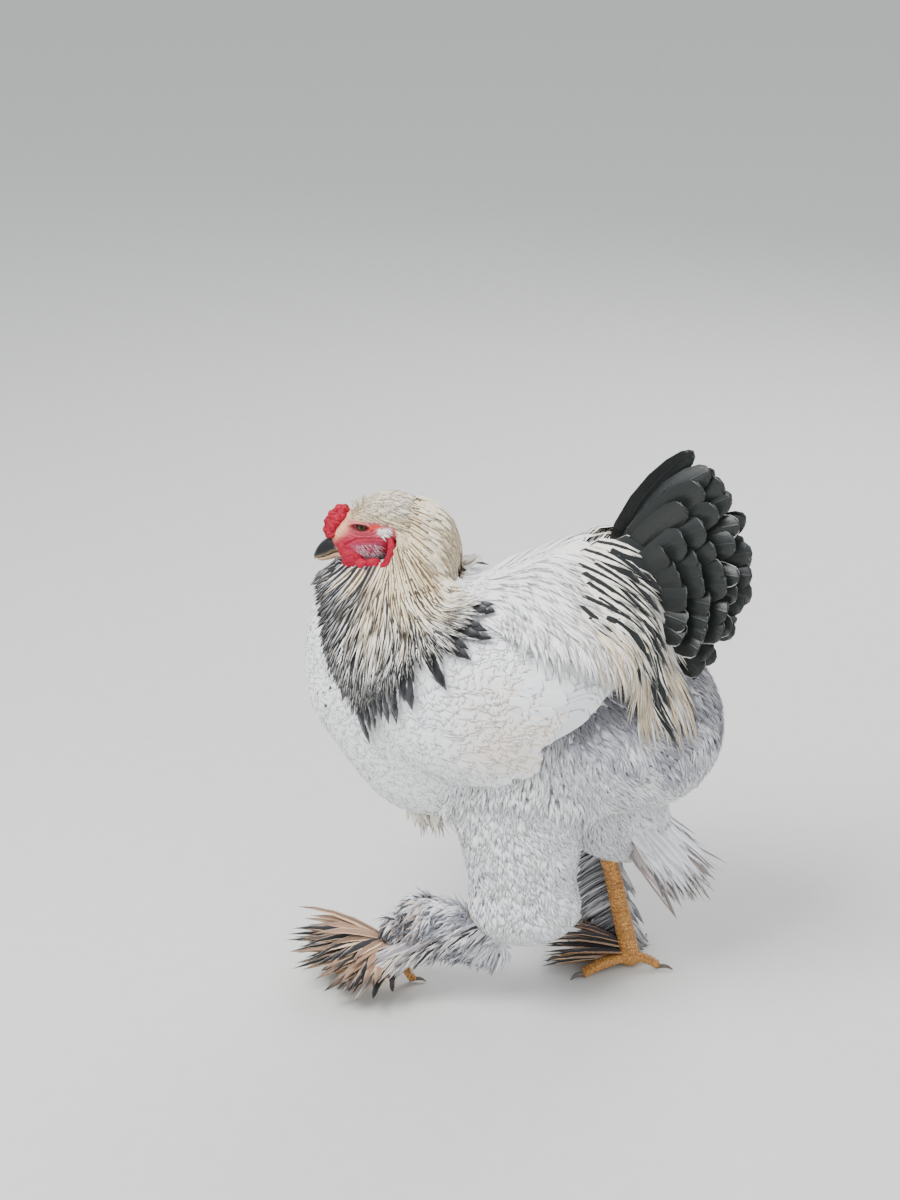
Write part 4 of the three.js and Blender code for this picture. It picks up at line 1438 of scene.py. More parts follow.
@dataclass
class Wing:
    """The long feathers of a folded wing: two tiers of coverts over the rounded secondaries."""

    anatomy: Anatomy
    side: Side

    def build(self) -> Piece:
        """Lay the tiers, the innermost first."""
        form = self.anatomy
        sign = self.side.value
        coat = Coat(f"{self.side.word}_wing_coat", (sign * 60, 0, 350), 31 + sign)
        ground = Body([form.wings[self.side], form.torso], 14)
        tiers = [
            (10, (-6, 303), (30, 384), 112, 30, (34, 22), 3.5, 7.0),
            (10, (-22, 302), (12, 390), 76, 28, (32, 14), 4.0, 7.2),
            (12, (-42, 302), (-4, 397), 54, 24, (24, 6), 4.0, 7.0),
        ]
        for count, start, end, length, width, aim, lift, rise in tiers:
            t = np.linspace(0, 1, count)
            y, z = blend(start[0], end[0], t), blend(start[1], end[1], t)
            roots = columns(sign * 118.0, y, z)
            slant = np.radians(blend(aim[0], aim[1], t))
            way = columns(0, np.cos(slant), np.sin(slant))
            reach = length * jitter(coat.random, count, 0.06)
            heights = (-3, lift, rise)
            laid = coat.lay(ground, roots, lambda spot, share: way, BROAD, reach, heights, None, 0.02, 0.08)
            tone = blend(WHITE, shade("e9eff4"), coat.random.uniform(0.1, 0.9, (count, 1)))
            roll = np.full(count, sign * math.radians(-5))
            coat.add(BROAD, *laid, np.full(count, width), tone, tone, PLAIN, 1.0, roll=roll, cup=0.12)
        made = coat.piece(FeatherFinish("wing_feather", contrast=0.1).material(), "white_plumage")
        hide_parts(f"{self.side.word}_wing")
        return made


@dataclass
class Saddle:
    """The long narrow feathers that fall from the back over the flanks."""

    anatomy: Anatomy
    gap: float = 4.6

    def build(self) -> Piece:
        """Lay the saddle from the back outwards, longest behind."""
        form = self.anatomy
        coat = Coat("saddle_coat", (0, 60, 380), 41)
        ground = Body([form.mantle, form.rump, *(wing.raised(7) for wing in form.wings.values())], 20)

        def wanted(points: Array) -> Array:
            """Keep the back and the rump behind the shoulders."""
            x, y, z = points.T
            clear = (form.torso.beyond(points) > -10) & (form.neck.beyond(points) > 2)
            return (z > 388) & (y < 116) & (y > -24) & clear

        roots = scattered(form.saddle, (-75, -60, 370), (75, 130, 500), self.gap, 9, wanted)
        count = len(roots)
        x, y, z = roots.T
        side = np.sign(x)
        turn = np.degrees(np.arctan2(np.abs(x), z - 400 - 0.4 * np.clip(y, -20, 90)))
        t = ease(8, 88, turn)
        length = blend(52, 134, ease(-40, 84, y)) * blend(0.72, 1.04, t) * jitter(coat.random, count, 0.12)

        def flow(spot: Array, share: float) -> Array:
            """Lead the feathers back and outwards, then down."""
            across = side * blend(0.6, 0.1, share)
            back = blend(1, 0.85 - 0.6 * t, share)
            return columns(across, back, blend(-0.1, -0.8 - 0.4 * t, share))

        spine, faces = coat.lay(ground, roots, flow, LANCE, length, (-4, 0.5, 7), form.saddle, 0.05, 0.15)
        mood = coat.random.random((count, 1))
        low = ease(-10, 60, y)[:, None]
        buff = (ease(20, 60, y) * ease(0.35, 0.75, t))[:, None] * mood
        edge = blend(blend(WHITE, IVORY, low * mood), BUFF, 0.8 * buff)
        centre = blend(TAUPE, BLACK, coat.random.random((count, 1)))
        stripe = np.where(coat.random.random(count) < 0.55, 0.1, PLAIN)
        stripe = np.where((y < 10) & (t < 0.4), PLAIN, stripe)
        start = coat.random.uniform(0.2, 0.7, count)
        width = 8 * jitter(coat.random, count, 0.2)
        coat.add(LANCE, spine, faces, width, edge, centre, stripe, 0.93, start=start, cup=0.2)
        self.hangers(coat)
        made = coat.piece(FeatherFinish("saddle_feather", contrast=0.16).material(), "cream_plumage")
        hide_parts("saddle")
        return made

    def hangers(self, coat: Coat) -> None:
        """Hang black feathers with white edges beside the root of the tail."""
        form = self.anatomy
        random = coat.random
        ground = Body([form.rump, form.mantle], 24).raised(5)
        for side in Side:
            for row in range(4):
                count = 11
                t = (np.arange(count) + 0.5 * (row % 2)) / count
                y = blend(96, 112, t) - 12 * row
                z = blend(502, 394, t) - 4 * row
                x = side.value * blend(14, 62, np.sqrt(t))
                roots = columns(x, y, z) + random.normal(0, 2, (count, 3))
                way = columns(side.value * 0.3, 1, blend(-0.25, -1.25, t))
                length = blend(60, 92, t) * jitter(random, count, 0.12)
                laid = coat.lay(ground, roots, lambda spot, share: way, LANCE, length, (-4, 1, 5), None, 0.08)
                mood = random.random((count, 1))
                stripe = np.where(mood[:, 0] < 0.25 + 0.15 * row, 0.3, 0.78)
                centre = blend(BLACK, BEETLE, mood)
                coat.add(LANCE, *laid, 15 * jitter(random, count, 0.2), IVORY, centre, stripe, 0.97)


@dataclass
class Tail:
    """Black tail feathers with a green gloss, under tiers of broad coverts with thin pale lacing."""

    anatomy: Anatomy
    tiers: tuple = (
        (9, 74, -10, (170, 134), 32, (3, 9), 0.12, (-0.7, -0.1)),
        (8, 70, -38, (150, 122), 33, (9, 15), 0.24, (-0.6, -0.1)),
        (9, 62, -34, (128, 118), 33, (16, 21), 0.36, (-0.35, 0.0)),
        (8, 52, -26, (104, 104), 32, (23, 27), 0.5, (-0.2, 0.05)),
        (6, 44, -16, (82, 84), 30, (29, 32), 0.6, (-0.2, 0.05)),
    )

    def build(self) -> Piece:
        """Fan the tiers out on both sides."""
        coat = Coat("tail_coat", TAIL_ROOT, 51)
        for tier, (count, start, end, length, width, out, spread, bend) in enumerate(self.tiers):
            for side in Side:
                t = np.linspace(0, 1, count)
                rise = np.radians(blend(start, end, t) + coat.random.normal(0, 2.5, count))
                reach = blend(length[0], length[1], t) * (0.975 + 0.015 * coat.random.uniform(-1, 1, count))
                across = blend(out[0], out[1], np.sqrt(t)) + coat.random.normal(0, 1, count)
                wide = spread * blend(0.5, 1.0, t)
                turn = blend(bend[0], bend[1], t) + coat.random.normal(0, 0.06, count)
                spine = self.spines(side.value, rise, reach, across, wide, turn)
                faces = np.broadcast_to(unit(np.array([side.value, 0, 0.15])), spine.shape)
                low = ease(30, -30, np.degrees(rise)) * (0.6 if tier > 1 else 0.15)
                lace = np.where(coat.random.random(count) < 0.12 + low, 0.94, 1.3)
                edge = blend(WHITE, GREY, coat.random.uniform(0.2, 0.9, (count, 1)))
                roll = side.value * np.radians(8 + coat.random.normal(0, 7, count))
                vanes = width * jitter(coat.random, count, 0.14)
                coat.add(BROAD, spine, faces, vanes, edge, BEETLE, lace, 1.2, thick=0.6, cup=0.34, roll=roll)
        look = {"roughness": 0.36, "ragged": 0.04, "contrast": 0.4, "barbs": 60, "gloss": True}
        made = coat.piece(FeatherFinish("tail_feather", **look).material(), "black_plumage")
        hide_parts("tail")
        return made

    @staticmethod
    def spines(sign: int, rise: Array, reach: Array, across: Array, wide: Array, turn: Array) -> Array:
        """Bend each spine from the root outwards and back."""
        steps = np.array(BROAD.rings)
        root = TAIL_ROOT + columns(sign * across, 20 * np.cos(rise), 20 * np.sin(rise))
        spots = [root]
        for before, here in zip(steps, steps[1:]):
            angle = rise + turn * (before + here) / 2
            way = columns(sign * wide * 1.2 * here, np.cos(angle), np.sin(angle))
            spots.append(spots[-1] + way * ((reach - 20) * (here - before))[:, None])
        return np.stack(spots, axis=1)


@dataclass
class Fluff:
    """Soft tufts on the thighs, and the long feathers behind the far hock."""

    anatomy: Anatomy

    def build(self) -> list[Piece]:
        """Cover both thighs."""
        finish = FeatherFinish("thigh_fluff", contrast=0.14, ragged=0.3, barbs=24).material()
        return [self.thigh(side, finish) for side in Side]

    def thigh(self, side: Side, finish: Material) -> Piece:
        """Cover a thigh down to its hock."""
        leg = self.anatomy.legs[side]
        middle = leg.hip + (leg.bulb - leg.hip) * 0.55
        coat = Coat(f"{side.word}_thigh_coat", middle, 61 + side.value)

        def wanted(points: Array) -> Array:
            """Keep what the trunk doesn't hide."""
            return self.anatomy.torso.beyond(points) > -8

        low = np.minimum(leg.bulb - [60, 80, 70], leg.hip - [60, 80, 0])
        high = np.maximum(leg.hip + [60, 80, 30], leg.bulb + [60, 80, 0])
        roots = scattered(leg.thigh, low, high, 3.1, 13, wanted)
        count = len(roots)
        length = blend(13, 24, coat.random.random(count) ** 1.5)

        def flow(spot: Array, share: float) -> Array:
            """Lead the tufts down and a little back."""
            behind = ease(-30, 60, spot[:, 1] - middle[1])
            return columns(0, 0.1 + 0.5 * behind, -1)

        laid = coat.lay(leg.thigh, roots, flow, STRAND, length, (-4, -0.8, 1.2), None, 0.3, 0.4, 0.7)
        cloud = np.clip(0.4 + 0.8 * ripple(roots, 15), 0, 1)
        mood = coat.random.random(count)
        tone = blend(WHITE, SHADE_WHITE, (cloud * (0.2 + 0.5 * mood))[:, None])
        width = blend(2.8, 6.4, mood**1.5)
        coat.add(STRAND, *laid, width, tone, tone, PLAIN, 0.3, **SOFT)
        if side is Side.RIGHT:
            self.trailing(coat, leg)
        return coat.piece(finish, "down")

    @staticmethod
    def trailing(coat: Coat, leg: Leg) -> None:
        """Trail long grey-brown feathers back and down from behind the far hock."""
        random = coat.random
        count = 190
        turn = random.uniform(-1.3, 1.3, count)
        out, back = np.sin(turn), np.cos(turn)
        start = leg.bulb + columns(60 * out, 60 * back, random.uniform(-26, 18, count))
        root = leg.thigh.settle(start, -4.0)
        way = unit(columns(0.35 * out, 0.62, -0.72 + random.normal(0, 0.2, count)))
        length = random.uniform(36, 78, count)
        share = np.array(LANCE.rings)
        spine = root[:, None] + way[:, None] * (length[:, None] * share)[..., None]
        spine[..., 2] -= length[:, None] * 0.12 * share**2
        faces = columns(out, 0.8, 0.6)
        faces = np.broadcast_to(unit(faces)[:, None], spine.shape)
        mood = random.random((count, 1))
        edge = blend(WHITE, blend(GREY, TAN, 0.5), mood)
        centre = blend(blend(GREY, TAUPE, 0.5), SLATE, random.random((count, 1)))
        upper = (start[:, 2] > leg.bulb[2] + 3)[:, None]
        edge, centre = np.where(upper, WHITE, edge), np.where(upper, SHADE_WHITE, centre)
        coat.add(LANCE, spine, faces, 12 * jitter(random, count, 0.3), edge, centre, 0.4, 0.9)


@dataclass(frozen=True)
class Toe:
    """A toe: its turn from straight ahead in degrees, outwards negative, its length and its radius."""

    turn: float
    length: float
    radius: float


TOES = {
    "inner": Toe(30, 56, 5.5),
    "middle": Toe(0, 72, 6.0),
    "outer": Toe(-32, 54, 5.4),
    "hind": Toe(168, 32, 4.5),
}


def loft(rings: Array) -> Shell:
    """Close a skin over rings of points that follow one another."""
    count, sides = rings.shape[:2]
    faces = []
    for i in range(count - 1):
        for j in range(sides):
            k = (j + 1) % sides
            faces += [(i * sides + j, i * sides + k, i * sides + sides + k)]
            faces += [(i * sides + j, i * sides + sides + k, i * sides + sides + j)]
    spots = np.concatenate([rings.reshape(-1, 3), rings[:1].mean(axis=1), rings[-1:].mean(axis=1)])
    first, last, end = len(spots) - 2, len(spots) - 1, (count - 1) * sides
    for j in range(sides):
        k = (j + 1) % sides
        faces += [(first, k, j), (last, end + j, end + k)]
    return spots, np.array(faces)


def tube(path: Array, radii: Array, sides: int = 16) -> Shell:
    """Make a closed round rod along a path.

    Args:
        path: Its middle points.
        radii: Its radius at each point.
        sides: How many points lie round it.

    Returns:
        The points and the triangles.
    """
    ways = unit(np.gradient(path, axis=0))
    side = unit(np.cross(ways, np.array([1.0, 0.13, 0.07])))
    above = np.cross(side, ways)
    turn = np.linspace(0, 2 * math.pi, sides, endpoint=False)
    ring = side[:, None] * np.cos(turn)[None, :, None] + above[:, None] * np.sin(turn)[None, :, None]
    return loft(path[:, None] + ring * np.asarray(radii)[:, None, None])


def smooth_path(points: Sequence, count: int) -> Array:
    """Run a smooth curve through a few points."""
    points = np.asarray(points, float)
    knots = np.concatenate([[2 * points[0] - points[1]], points, [2 * points[-1] - points[-2]]])
    spots = []
    for s in np.linspace(0, len(points) - 1, count):
        i = min(int(s), len(points) - 2)
        t = s - i
        a, b, c, d = knots[i : i + 4]
        spots.append(
            0.5 * (2 * b + (c - a) * t + (2 * a - 5 * b + 4 * c - d) * t**2 + (3 * b - a - 3 * c + d) * t**3)
        )
    return np.array(spots)


@dataclass
class Foot:
    """A shank, its toes and claws, and the feathers down their outer side."""

    leg: Leg

    def toe_way(self, toe: Toe) -> Array:
        """Tell which way a toe points."""
        turn = self.leg.heading - self.leg.side.value * math.radians(toe.turn)
        return np.array([math.sin(turn), -math.cos(turn), 0])

    def toe_end(self, toe: Toe) -> Array:
        """Tell where a toe ends."""
        ball_spot = self.leg.ball
        reach = max(toe.length - (ball_spot[2] - 20) * 0.5, 24)
        return np.array([ball_spot[0], ball_spot[1], toe.radius * 0.66]) + self.toe_way(toe) * reach

    def build(self) -> list[Piece]:
        """Build the scaly skin, the claws and the feathers."""
        word = self.leg.side.word
        skin = self.skin()
        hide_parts(f"{word}_shank", f"{word}_foot")
        claws = [self.claw(name) for name in TOES]
        return [skin, self.scutes(), *claws, self.feathers()]

    def skin(self) -> Piece:
        """Melt the shank, the pad and the toes into one skin."""
        hock, ball_spot = self.leg.hock, self.leg.ball
        path = smooth_path([hock, (hock + ball_spot) / 2, ball_spot - [0, 0, 3]], 12)
        shells = [tube(path, np.interp(np.linspace(0, 1, 12), [0, 0.3, 1], [7, 8.5, 10]))]
        shells.append(wrapped(Lobe(ball_spot - [0, 0, 10], (11, 13, 9.5)), ball_spot - [0, 0, 10], 3))
        for toe in TOES.values():
            way, end = self.toe_way(toe), self.toe_end(toe)
            root = ball_spot + way + [0, 0, -9]
            knuckle = (root + end) / 2 + [0, 0, 3]
            pads = np.interp(np.linspace(0, 1, 14), [0, 0.25, 0.5, 0.75, 1], [1.35, 1, 1.12, 0.9, 0.8])
            shells.append(tube(smooth_path([root, knuckle, end], 14), pads * toe.radius, 12))
        mesh = remeshed(f"{self.leg.side.word}_foot_skin", shells, 1.1, 3)
        made = object_of(mesh.name, mesh, ScaleFinish("scaly_skin").material())
        return made

    def scutes(self) -> Piece:
        """Set rows of overlapping plates down the shank and along the toes."""
        leg = self.leg
        word = leg.side.word
        rows = []
        shank = smooth_path([leg.hock, (leg.hock + leg.ball) / 2, leg.ball - [0, 0, 3]], 12)
        girth = np.interp(np.linspace(0, 1, 12), [0, 0.3, 1], [11, 8.5, 10])
        ahead = self.toe_way(TOES["middle"])
        inner = np.array([-leg.side.value, 0, 0])
        for spread in (-0.75, 0.15, 1.05, 1.95):
            rows.append((shank, girth, ahead * math.cos(spread) + inner * math.sin(spread), 5.4, 5.6))
        for toe in TOES.values():
            way, end = self.toe_way(toe), self.toe_end(toe)
            root = leg.ball + way + [0, 0, -9]
            path = smooth_path([root, (root + end) / 2 + [0, 0, 3], end], 14)
            rows.append((path, np.full(14, toe.radius * 0.98), np.array([0, 0, 1.0]), 4.0, toe.radius * 0.95))
        spots, sizes, faces, ways = [], [], [], []
        for path, girth, out, gap, wide in rows:
            reach = np.concatenate([[0], np.cumsum(np.linalg.norm(np.diff(path, axis=0), axis=1))])
            for place in np.arange(gap, reach[-1] - 1, gap):
                middle = np.array([np.interp(place, reach, path[:, k]) for k in range(3)])
                ahead_of = np.array([np.interp(place + 2, reach, path[:, k]) for k in range(3)])
                along = unit(ahead_of - middle + 1e-6)
                facing = unit(out - dot(out, along) * along + 0.12 * along)
                spots.append(middle + facing * (np.interp(place, reach, girth) - 0.9))
                sizes.append(np.array([gap * 0.68, wide, 1.5]) / 1000)
                faces.append(facing)
                ways.append(along)
        source = mesh_of(f"{word}_scute_places", np.array(spots), [])
        for name, values in (("size", sizes), ("facing", faces), ("along", ways)):
            layer = source.attributes.new(name, "FLOAT_VECTOR", "POINT")
            layer.data.foreach_set("vector", np.array(values).ravel())
        growth = Growth(f"{word}_scutes")
        material = ScaleFinish("scute_skin").material()
        finish = growth.input("Material", "Material", material)
        detail = growth.input("Segments", "Int", 12)
        read = {"data_type": "FLOAT_VECTOR"}
        kind = "GeometryNodeInputNamedAttribute"
        names = ("size", "facing", "along")
        size, facing, along = (growth.node(kind, read, {"Name": name}) for name in names)
        turn = {"primary_axis": "Z", "secondary_axis": "X"}
        axes = {"Primary Axis": facing, "Secondary Axis": along}
        aim = growth.node("FunctionNodeAxesToRotation", turn, axes)
        plate = growth.node("GeometryNodeMeshUVSphere", {}, {"Segments": detail, "Rings": 6, "Radius": 1.0})
        places = Value(growth, growth.entry.outputs["Geometry"])
        laid = {"Points": places, "Instance": plate, "Rotation": aim, "Scale": size}
        plates = growth.node("GeometryNodeInstanceOnPoints", {}, laid)
        mesh = growth.grow(f"{word}_scutes", source, plates, finish)
        mesh.shade_smooth()
        made = object_of(mesh.name, mesh, material)
        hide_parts(f"{word}_shank", f"{word}_foot")
        return made

    def claw(self, name: str) -> Piece:
        """Curve a claw from the end of its toe."""
        toe = TOES[name]
        way, end = self.toe_way(toe), self.toe_end(toe)
        tip = (end + way * 15) * [1, 1, 0] + [0, 0, 1]
        path = smooth_path([end - way * 3, end + way * 8 + [0, 0, 1.2], tip], 12)
        radii = np.interp(np.linspace(0, 1, 12), [0, 0.5, 1], [0.55, 0.42, 0.08]) * toe.radius
        mesh = mesh_of(f"{self.leg.side.word}_claw_{name}_horn", *tube(path, radii, 14))
        tone = np.broadcast_to(blend(TAUPE, SLATE, 0.5), (len(mesh.vertices), 3))
        stain(mesh, "tone", tone)
        made = object_of(mesh.name, mesh, HornFinish("claw_horn").material())
        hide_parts(f"{self.leg.side.word}_claw_{name}")
        return made

    def feathers(self) -> Piece:
        """Spread the feathers over the foot in tiers and down the shank."""
        leg = self.leg
        coat = Coat(f"{leg.side.word}_foot_coat", leg.ball, 81 + leg.side.value)
        self.fan(coat)
        if leg.side is Side.LEFT:
            self.boot(coat)
        self.stockings(coat)
        finish = FeatherFinish(f"{leg.side.word}_foot_feather", ragged=0.25).material()
        return coat.piece(finish, "white_plumage")

    def fan(self, coat: Coat) -> None:
        """Spread long feathers from the outer toes, tier over tier."""
        leg = self.leg
        sign = leg.side.value
        tiers = [
            (15, -14, 106, (112, 70), 15, 1, (0.1, 0.05)),
            (15, -10, 98, (108, 66), 14, 6, (0.26, 0.1)),
            (14, -6, 88, (100, 62), 14, 11, (0.42, 0.16)),
            (12, 0, 78, (90, 56), 13, 16, (0.56, 0.2)),
        ]
        share = np.array(LANCE.rings)
        for tier, (count, start, end, length, width, high, lift) in enumerate(tiers):
            t = np.linspace(0, 1, count)
            length = np.array(length) * (0.95 if sign > 0 else 0.8)
            turn = leg.heading + sign * np.radians(blend(start, end, t) + coat.random.normal(0, 3, count))
            way = columns(np.sin(turn), -np.cos(turn), 0)
            reach = blend(length[0], length[1], t) * jitter(coat.random, count, 0.12)
            along = reach[:, None] * share
            spine = leg.ball + [0, 0, high - 8] + way[:, None] * (5 + along)[..., None]
            climb = blend(lift[0], lift[1], t)[:, None] * share - (0.2 + 0.06 * tier) * share**2
            climb += coat.random.normal(0, 0.05, (count, 1)) * share
            spine[..., 2] = np.maximum(spine[..., 2] + reach[:, None] * climb, 2.5 + 2.5 * tier)
            faces = np.broadcast_to(np.array([0, 0, 1.0]), spine.shape)
            dark = coat.random.random((count, 1))
            edge = blend(blend(CREAM, RUST, 0.4), TAN, coat.random.random((count, 1)))
            centre = blend(blend(TAN, TAUPE, 0.4), BLACK, ease(0.25, 0.6, dark))
            roll = np.full(count, sign * math.radians(8))
            vanes = width * jitter(coat.random, count, 0.2)
            stripe = coat.random.uniform(0.45, 0.85, count)
            coat.add(LANCE, spine, faces, vanes, edge, centre, stripe, 0.97, roll=roll)

    def boot(self, coat: Coat) -> None:
        """Cover the whole shank with soft mottled feathers that hang forward and down."""
        leg = self.leg
        random = coat.random
        low, high = leg.ball - [40, 60, 40], leg.hock + [40, 40, 40]

        def wanted(points: Array) -> Array:
            """Keep what shows in front of the thigh."""
            return leg.thigh.beyond(points) > -6

        roots = scattered(leg.boot, low, high, 3.4, 23, wanted)
        count = len(roots)
        length = blend(14, 30, random.random(count))

        def flow(spot: Array, share: float) -> Array:
            """Lead the feathers forward, turning down."""
            drop = 0.35 + 0.9 * share + 0 * spot[:, 0]
            return columns(0.15, -1, -drop)

        spine, faces = coat.lay(leg.boot, roots, flow, STRAND, length, (-5, -1, 7), None, 0.3, 0.4, 0.7)
        spine[..., 2] = np.maximum(spine[..., 2], 4)
        cloud = ripple(roots, 12, 3) + 0.5 * random.uniform(-1, 1, count)
        ahead = ease(-30, -120, roots[:, 1])
        edge = blend(WHITE, LAVENDER, ease(-0.6, 0.5, cloud)[:, None])
        edge = blend(edge, SLATE, (ease(-0.1, 0.4, cloud) * (0.5 + 0.5 * ahead))[:, None])
        edge = blend(edge, TAN, (ease(0.1, 0.7, -cloud) * 0.8 * ahead)[:, None])
        width = blend(2.5, 6.5, random.random(count) ** 1.5)
        coat.add(STRAND, spine, faces, width, edge, edge, PLAIN, 0.9, **SOFT)

    def stockings(self, coat: Coat) -> None:
        """Hang feathers down the outer side of the shank."""
        leg = self.leg
        random = coat.random
        sign = leg.side.value
        near = leg.side is Side.LEFT
        count = 90 if near else 240
        t = random.uniform(0.1, 0.98, count)
        root = leg.hock + (leg.ball - leg.hock) * t[:, None] + [sign * (18 if near else 4), 0, 0]
        turn = random.random((count, 1))
        if near:
            ways = blend(np.array([0.6, -0.6, -0.3]), np.array([0.2, -1.0, 0.0]), turn)
            length = blend(26, 62, t) * jitter(random, count, 0.25)
        else:
            ways = blend(np.array([-0.5, 0.6, -0.6]), np.array([-0.2, -1.0, -0.5]), turn**0.7)
            length = blend(40, 58, turn[:, 0]) * jitter(random, count, 0.25)
        share = np.array(LANCE.rings)
        spine = root[:, None] + unit(ways)[:, None] * (length[:, None] * share)[..., None]
        spine[..., 2] -= length[:, None] * 0.35 * share**2
        spine[..., 2] = np.maximum(spine[..., 2], 3 + 8 * random.random((count, 1)))
        faces = np.broadcast_to(unit(np.array([sign, -0.3, 0.7])), spine.shape)
        edge = blend(WHITE, GREY, random.random((count, 1)))
        if near:
            edge = blend(edge, blend(CREAM, TAN, 0.6), (random.random((count, 1)) * t[:, None]))
        centre = blend(GREY, BLACK, ease(0.2, 0.7, random.random((count, 1))))
        vanes = (9 if near else 10) * jitter(random, count, 0.25)
        coat.add(LANCE, spine, faces, vanes, edge, centre, random.uniform(0, 0.6, count), 0.9)


@dataclass(frozen=True)
class ScaleFinish:
    """Orange-yellow skin of the shanks and toes, in small plates."""

    name: str

    def material(self) -> Material:
        """Build the material."""
        paint = Paint(self.name, Roughness=0.5)
        place = paint.place()
        plates = paint.cells(place, 420)
        wear_and_highlight = paint.noise(place, 90, 3)
        colour = paint.mix(wear_and_highlight.ramp(0.3, 0.7), shade("c2853a"), shade("e0a052"))
        seam = plates.ramp(0.35, 0.65)
        paint.feed("Base Color", paint.mix(seam * 0.6, colour, shade("7a5234")))
        paint.bump(1 - seam, 0.0008)
        return paint.material


@dataclass(frozen=True)
class HornFinish:
    """Horn of the beak and claws, coloured from the mesh."""

    name: str

    def material(self) -> Material:
        """Build the material."""
        paint = Paint(self.name, Roughness=0.5, Specular_IOR_Level=0.3)
        x, y, z = paint.split(paint.place())
        streak = paint.noise(paint.join(x * 500, y * 90, z * 500), 1.0, 3)
        paint.feed("Base Color", paint.tint(paint.attribute("tone"), 0.8 + streak * 0.4))
        paint.bump(streak, 0.0003)
        return paint.material


@dataclass(frozen=True)
class FleshFinish:
    """Bare red skin with fine folds, coloured from the mesh."""

    name: str
    grain: float = 900.0
    depth: float = 0.0005

    def material(self) -> Material:
        """Build the material."""
        paint = Paint(self.name, Roughness=0.5, Subsurface_Weight=0.1, Specular_IOR_Level=0.3)
        paint.shader.inputs["Subsurface Radius"].default_value = (0.004, 0.001, 0.0006)
        place = paint.place()
        grain = paint.noise(place, self.grain, 3, 0.6)
        beads = paint.cells(place, self.grain * 1.3)
        broad = paint.noise(place, 160, 3)
        amount = 0.72 + grain * 0.28 + broad * 0.3
        paint.feed("Base Color", paint.tint(paint.attribute("tone"), amount))
        paint.bump(grain * 0.6 + (1 - beads) * 0.8, self.depth)
        return paint.material


def from_line(line: Sequence[tuple[float, float]], y: Array, z: Array) -> Array:
    """Measure how far points lie from a bent line drawn from the side."""
    nearest = np.full(y.shape, 1e9)
    for (ya, za), (yb, zb) in zip(line, line[1:]):
        dy, dz = yb - ya, zb - za
        t = np.clip(((y - ya) * dy + (z - za) * dz) / (dy * dy + dz * dz), 0, 1)
        nearest = np.minimum(nearest, np.hypot(y - ya - dy * t, z - za - dz * t))
    return nearest


def bump_of(distance: Array, width: float) -> Array:
    """Fall from 1 on a line to 0 beside it."""
    return np.exp(-((distance / width) ** 2))


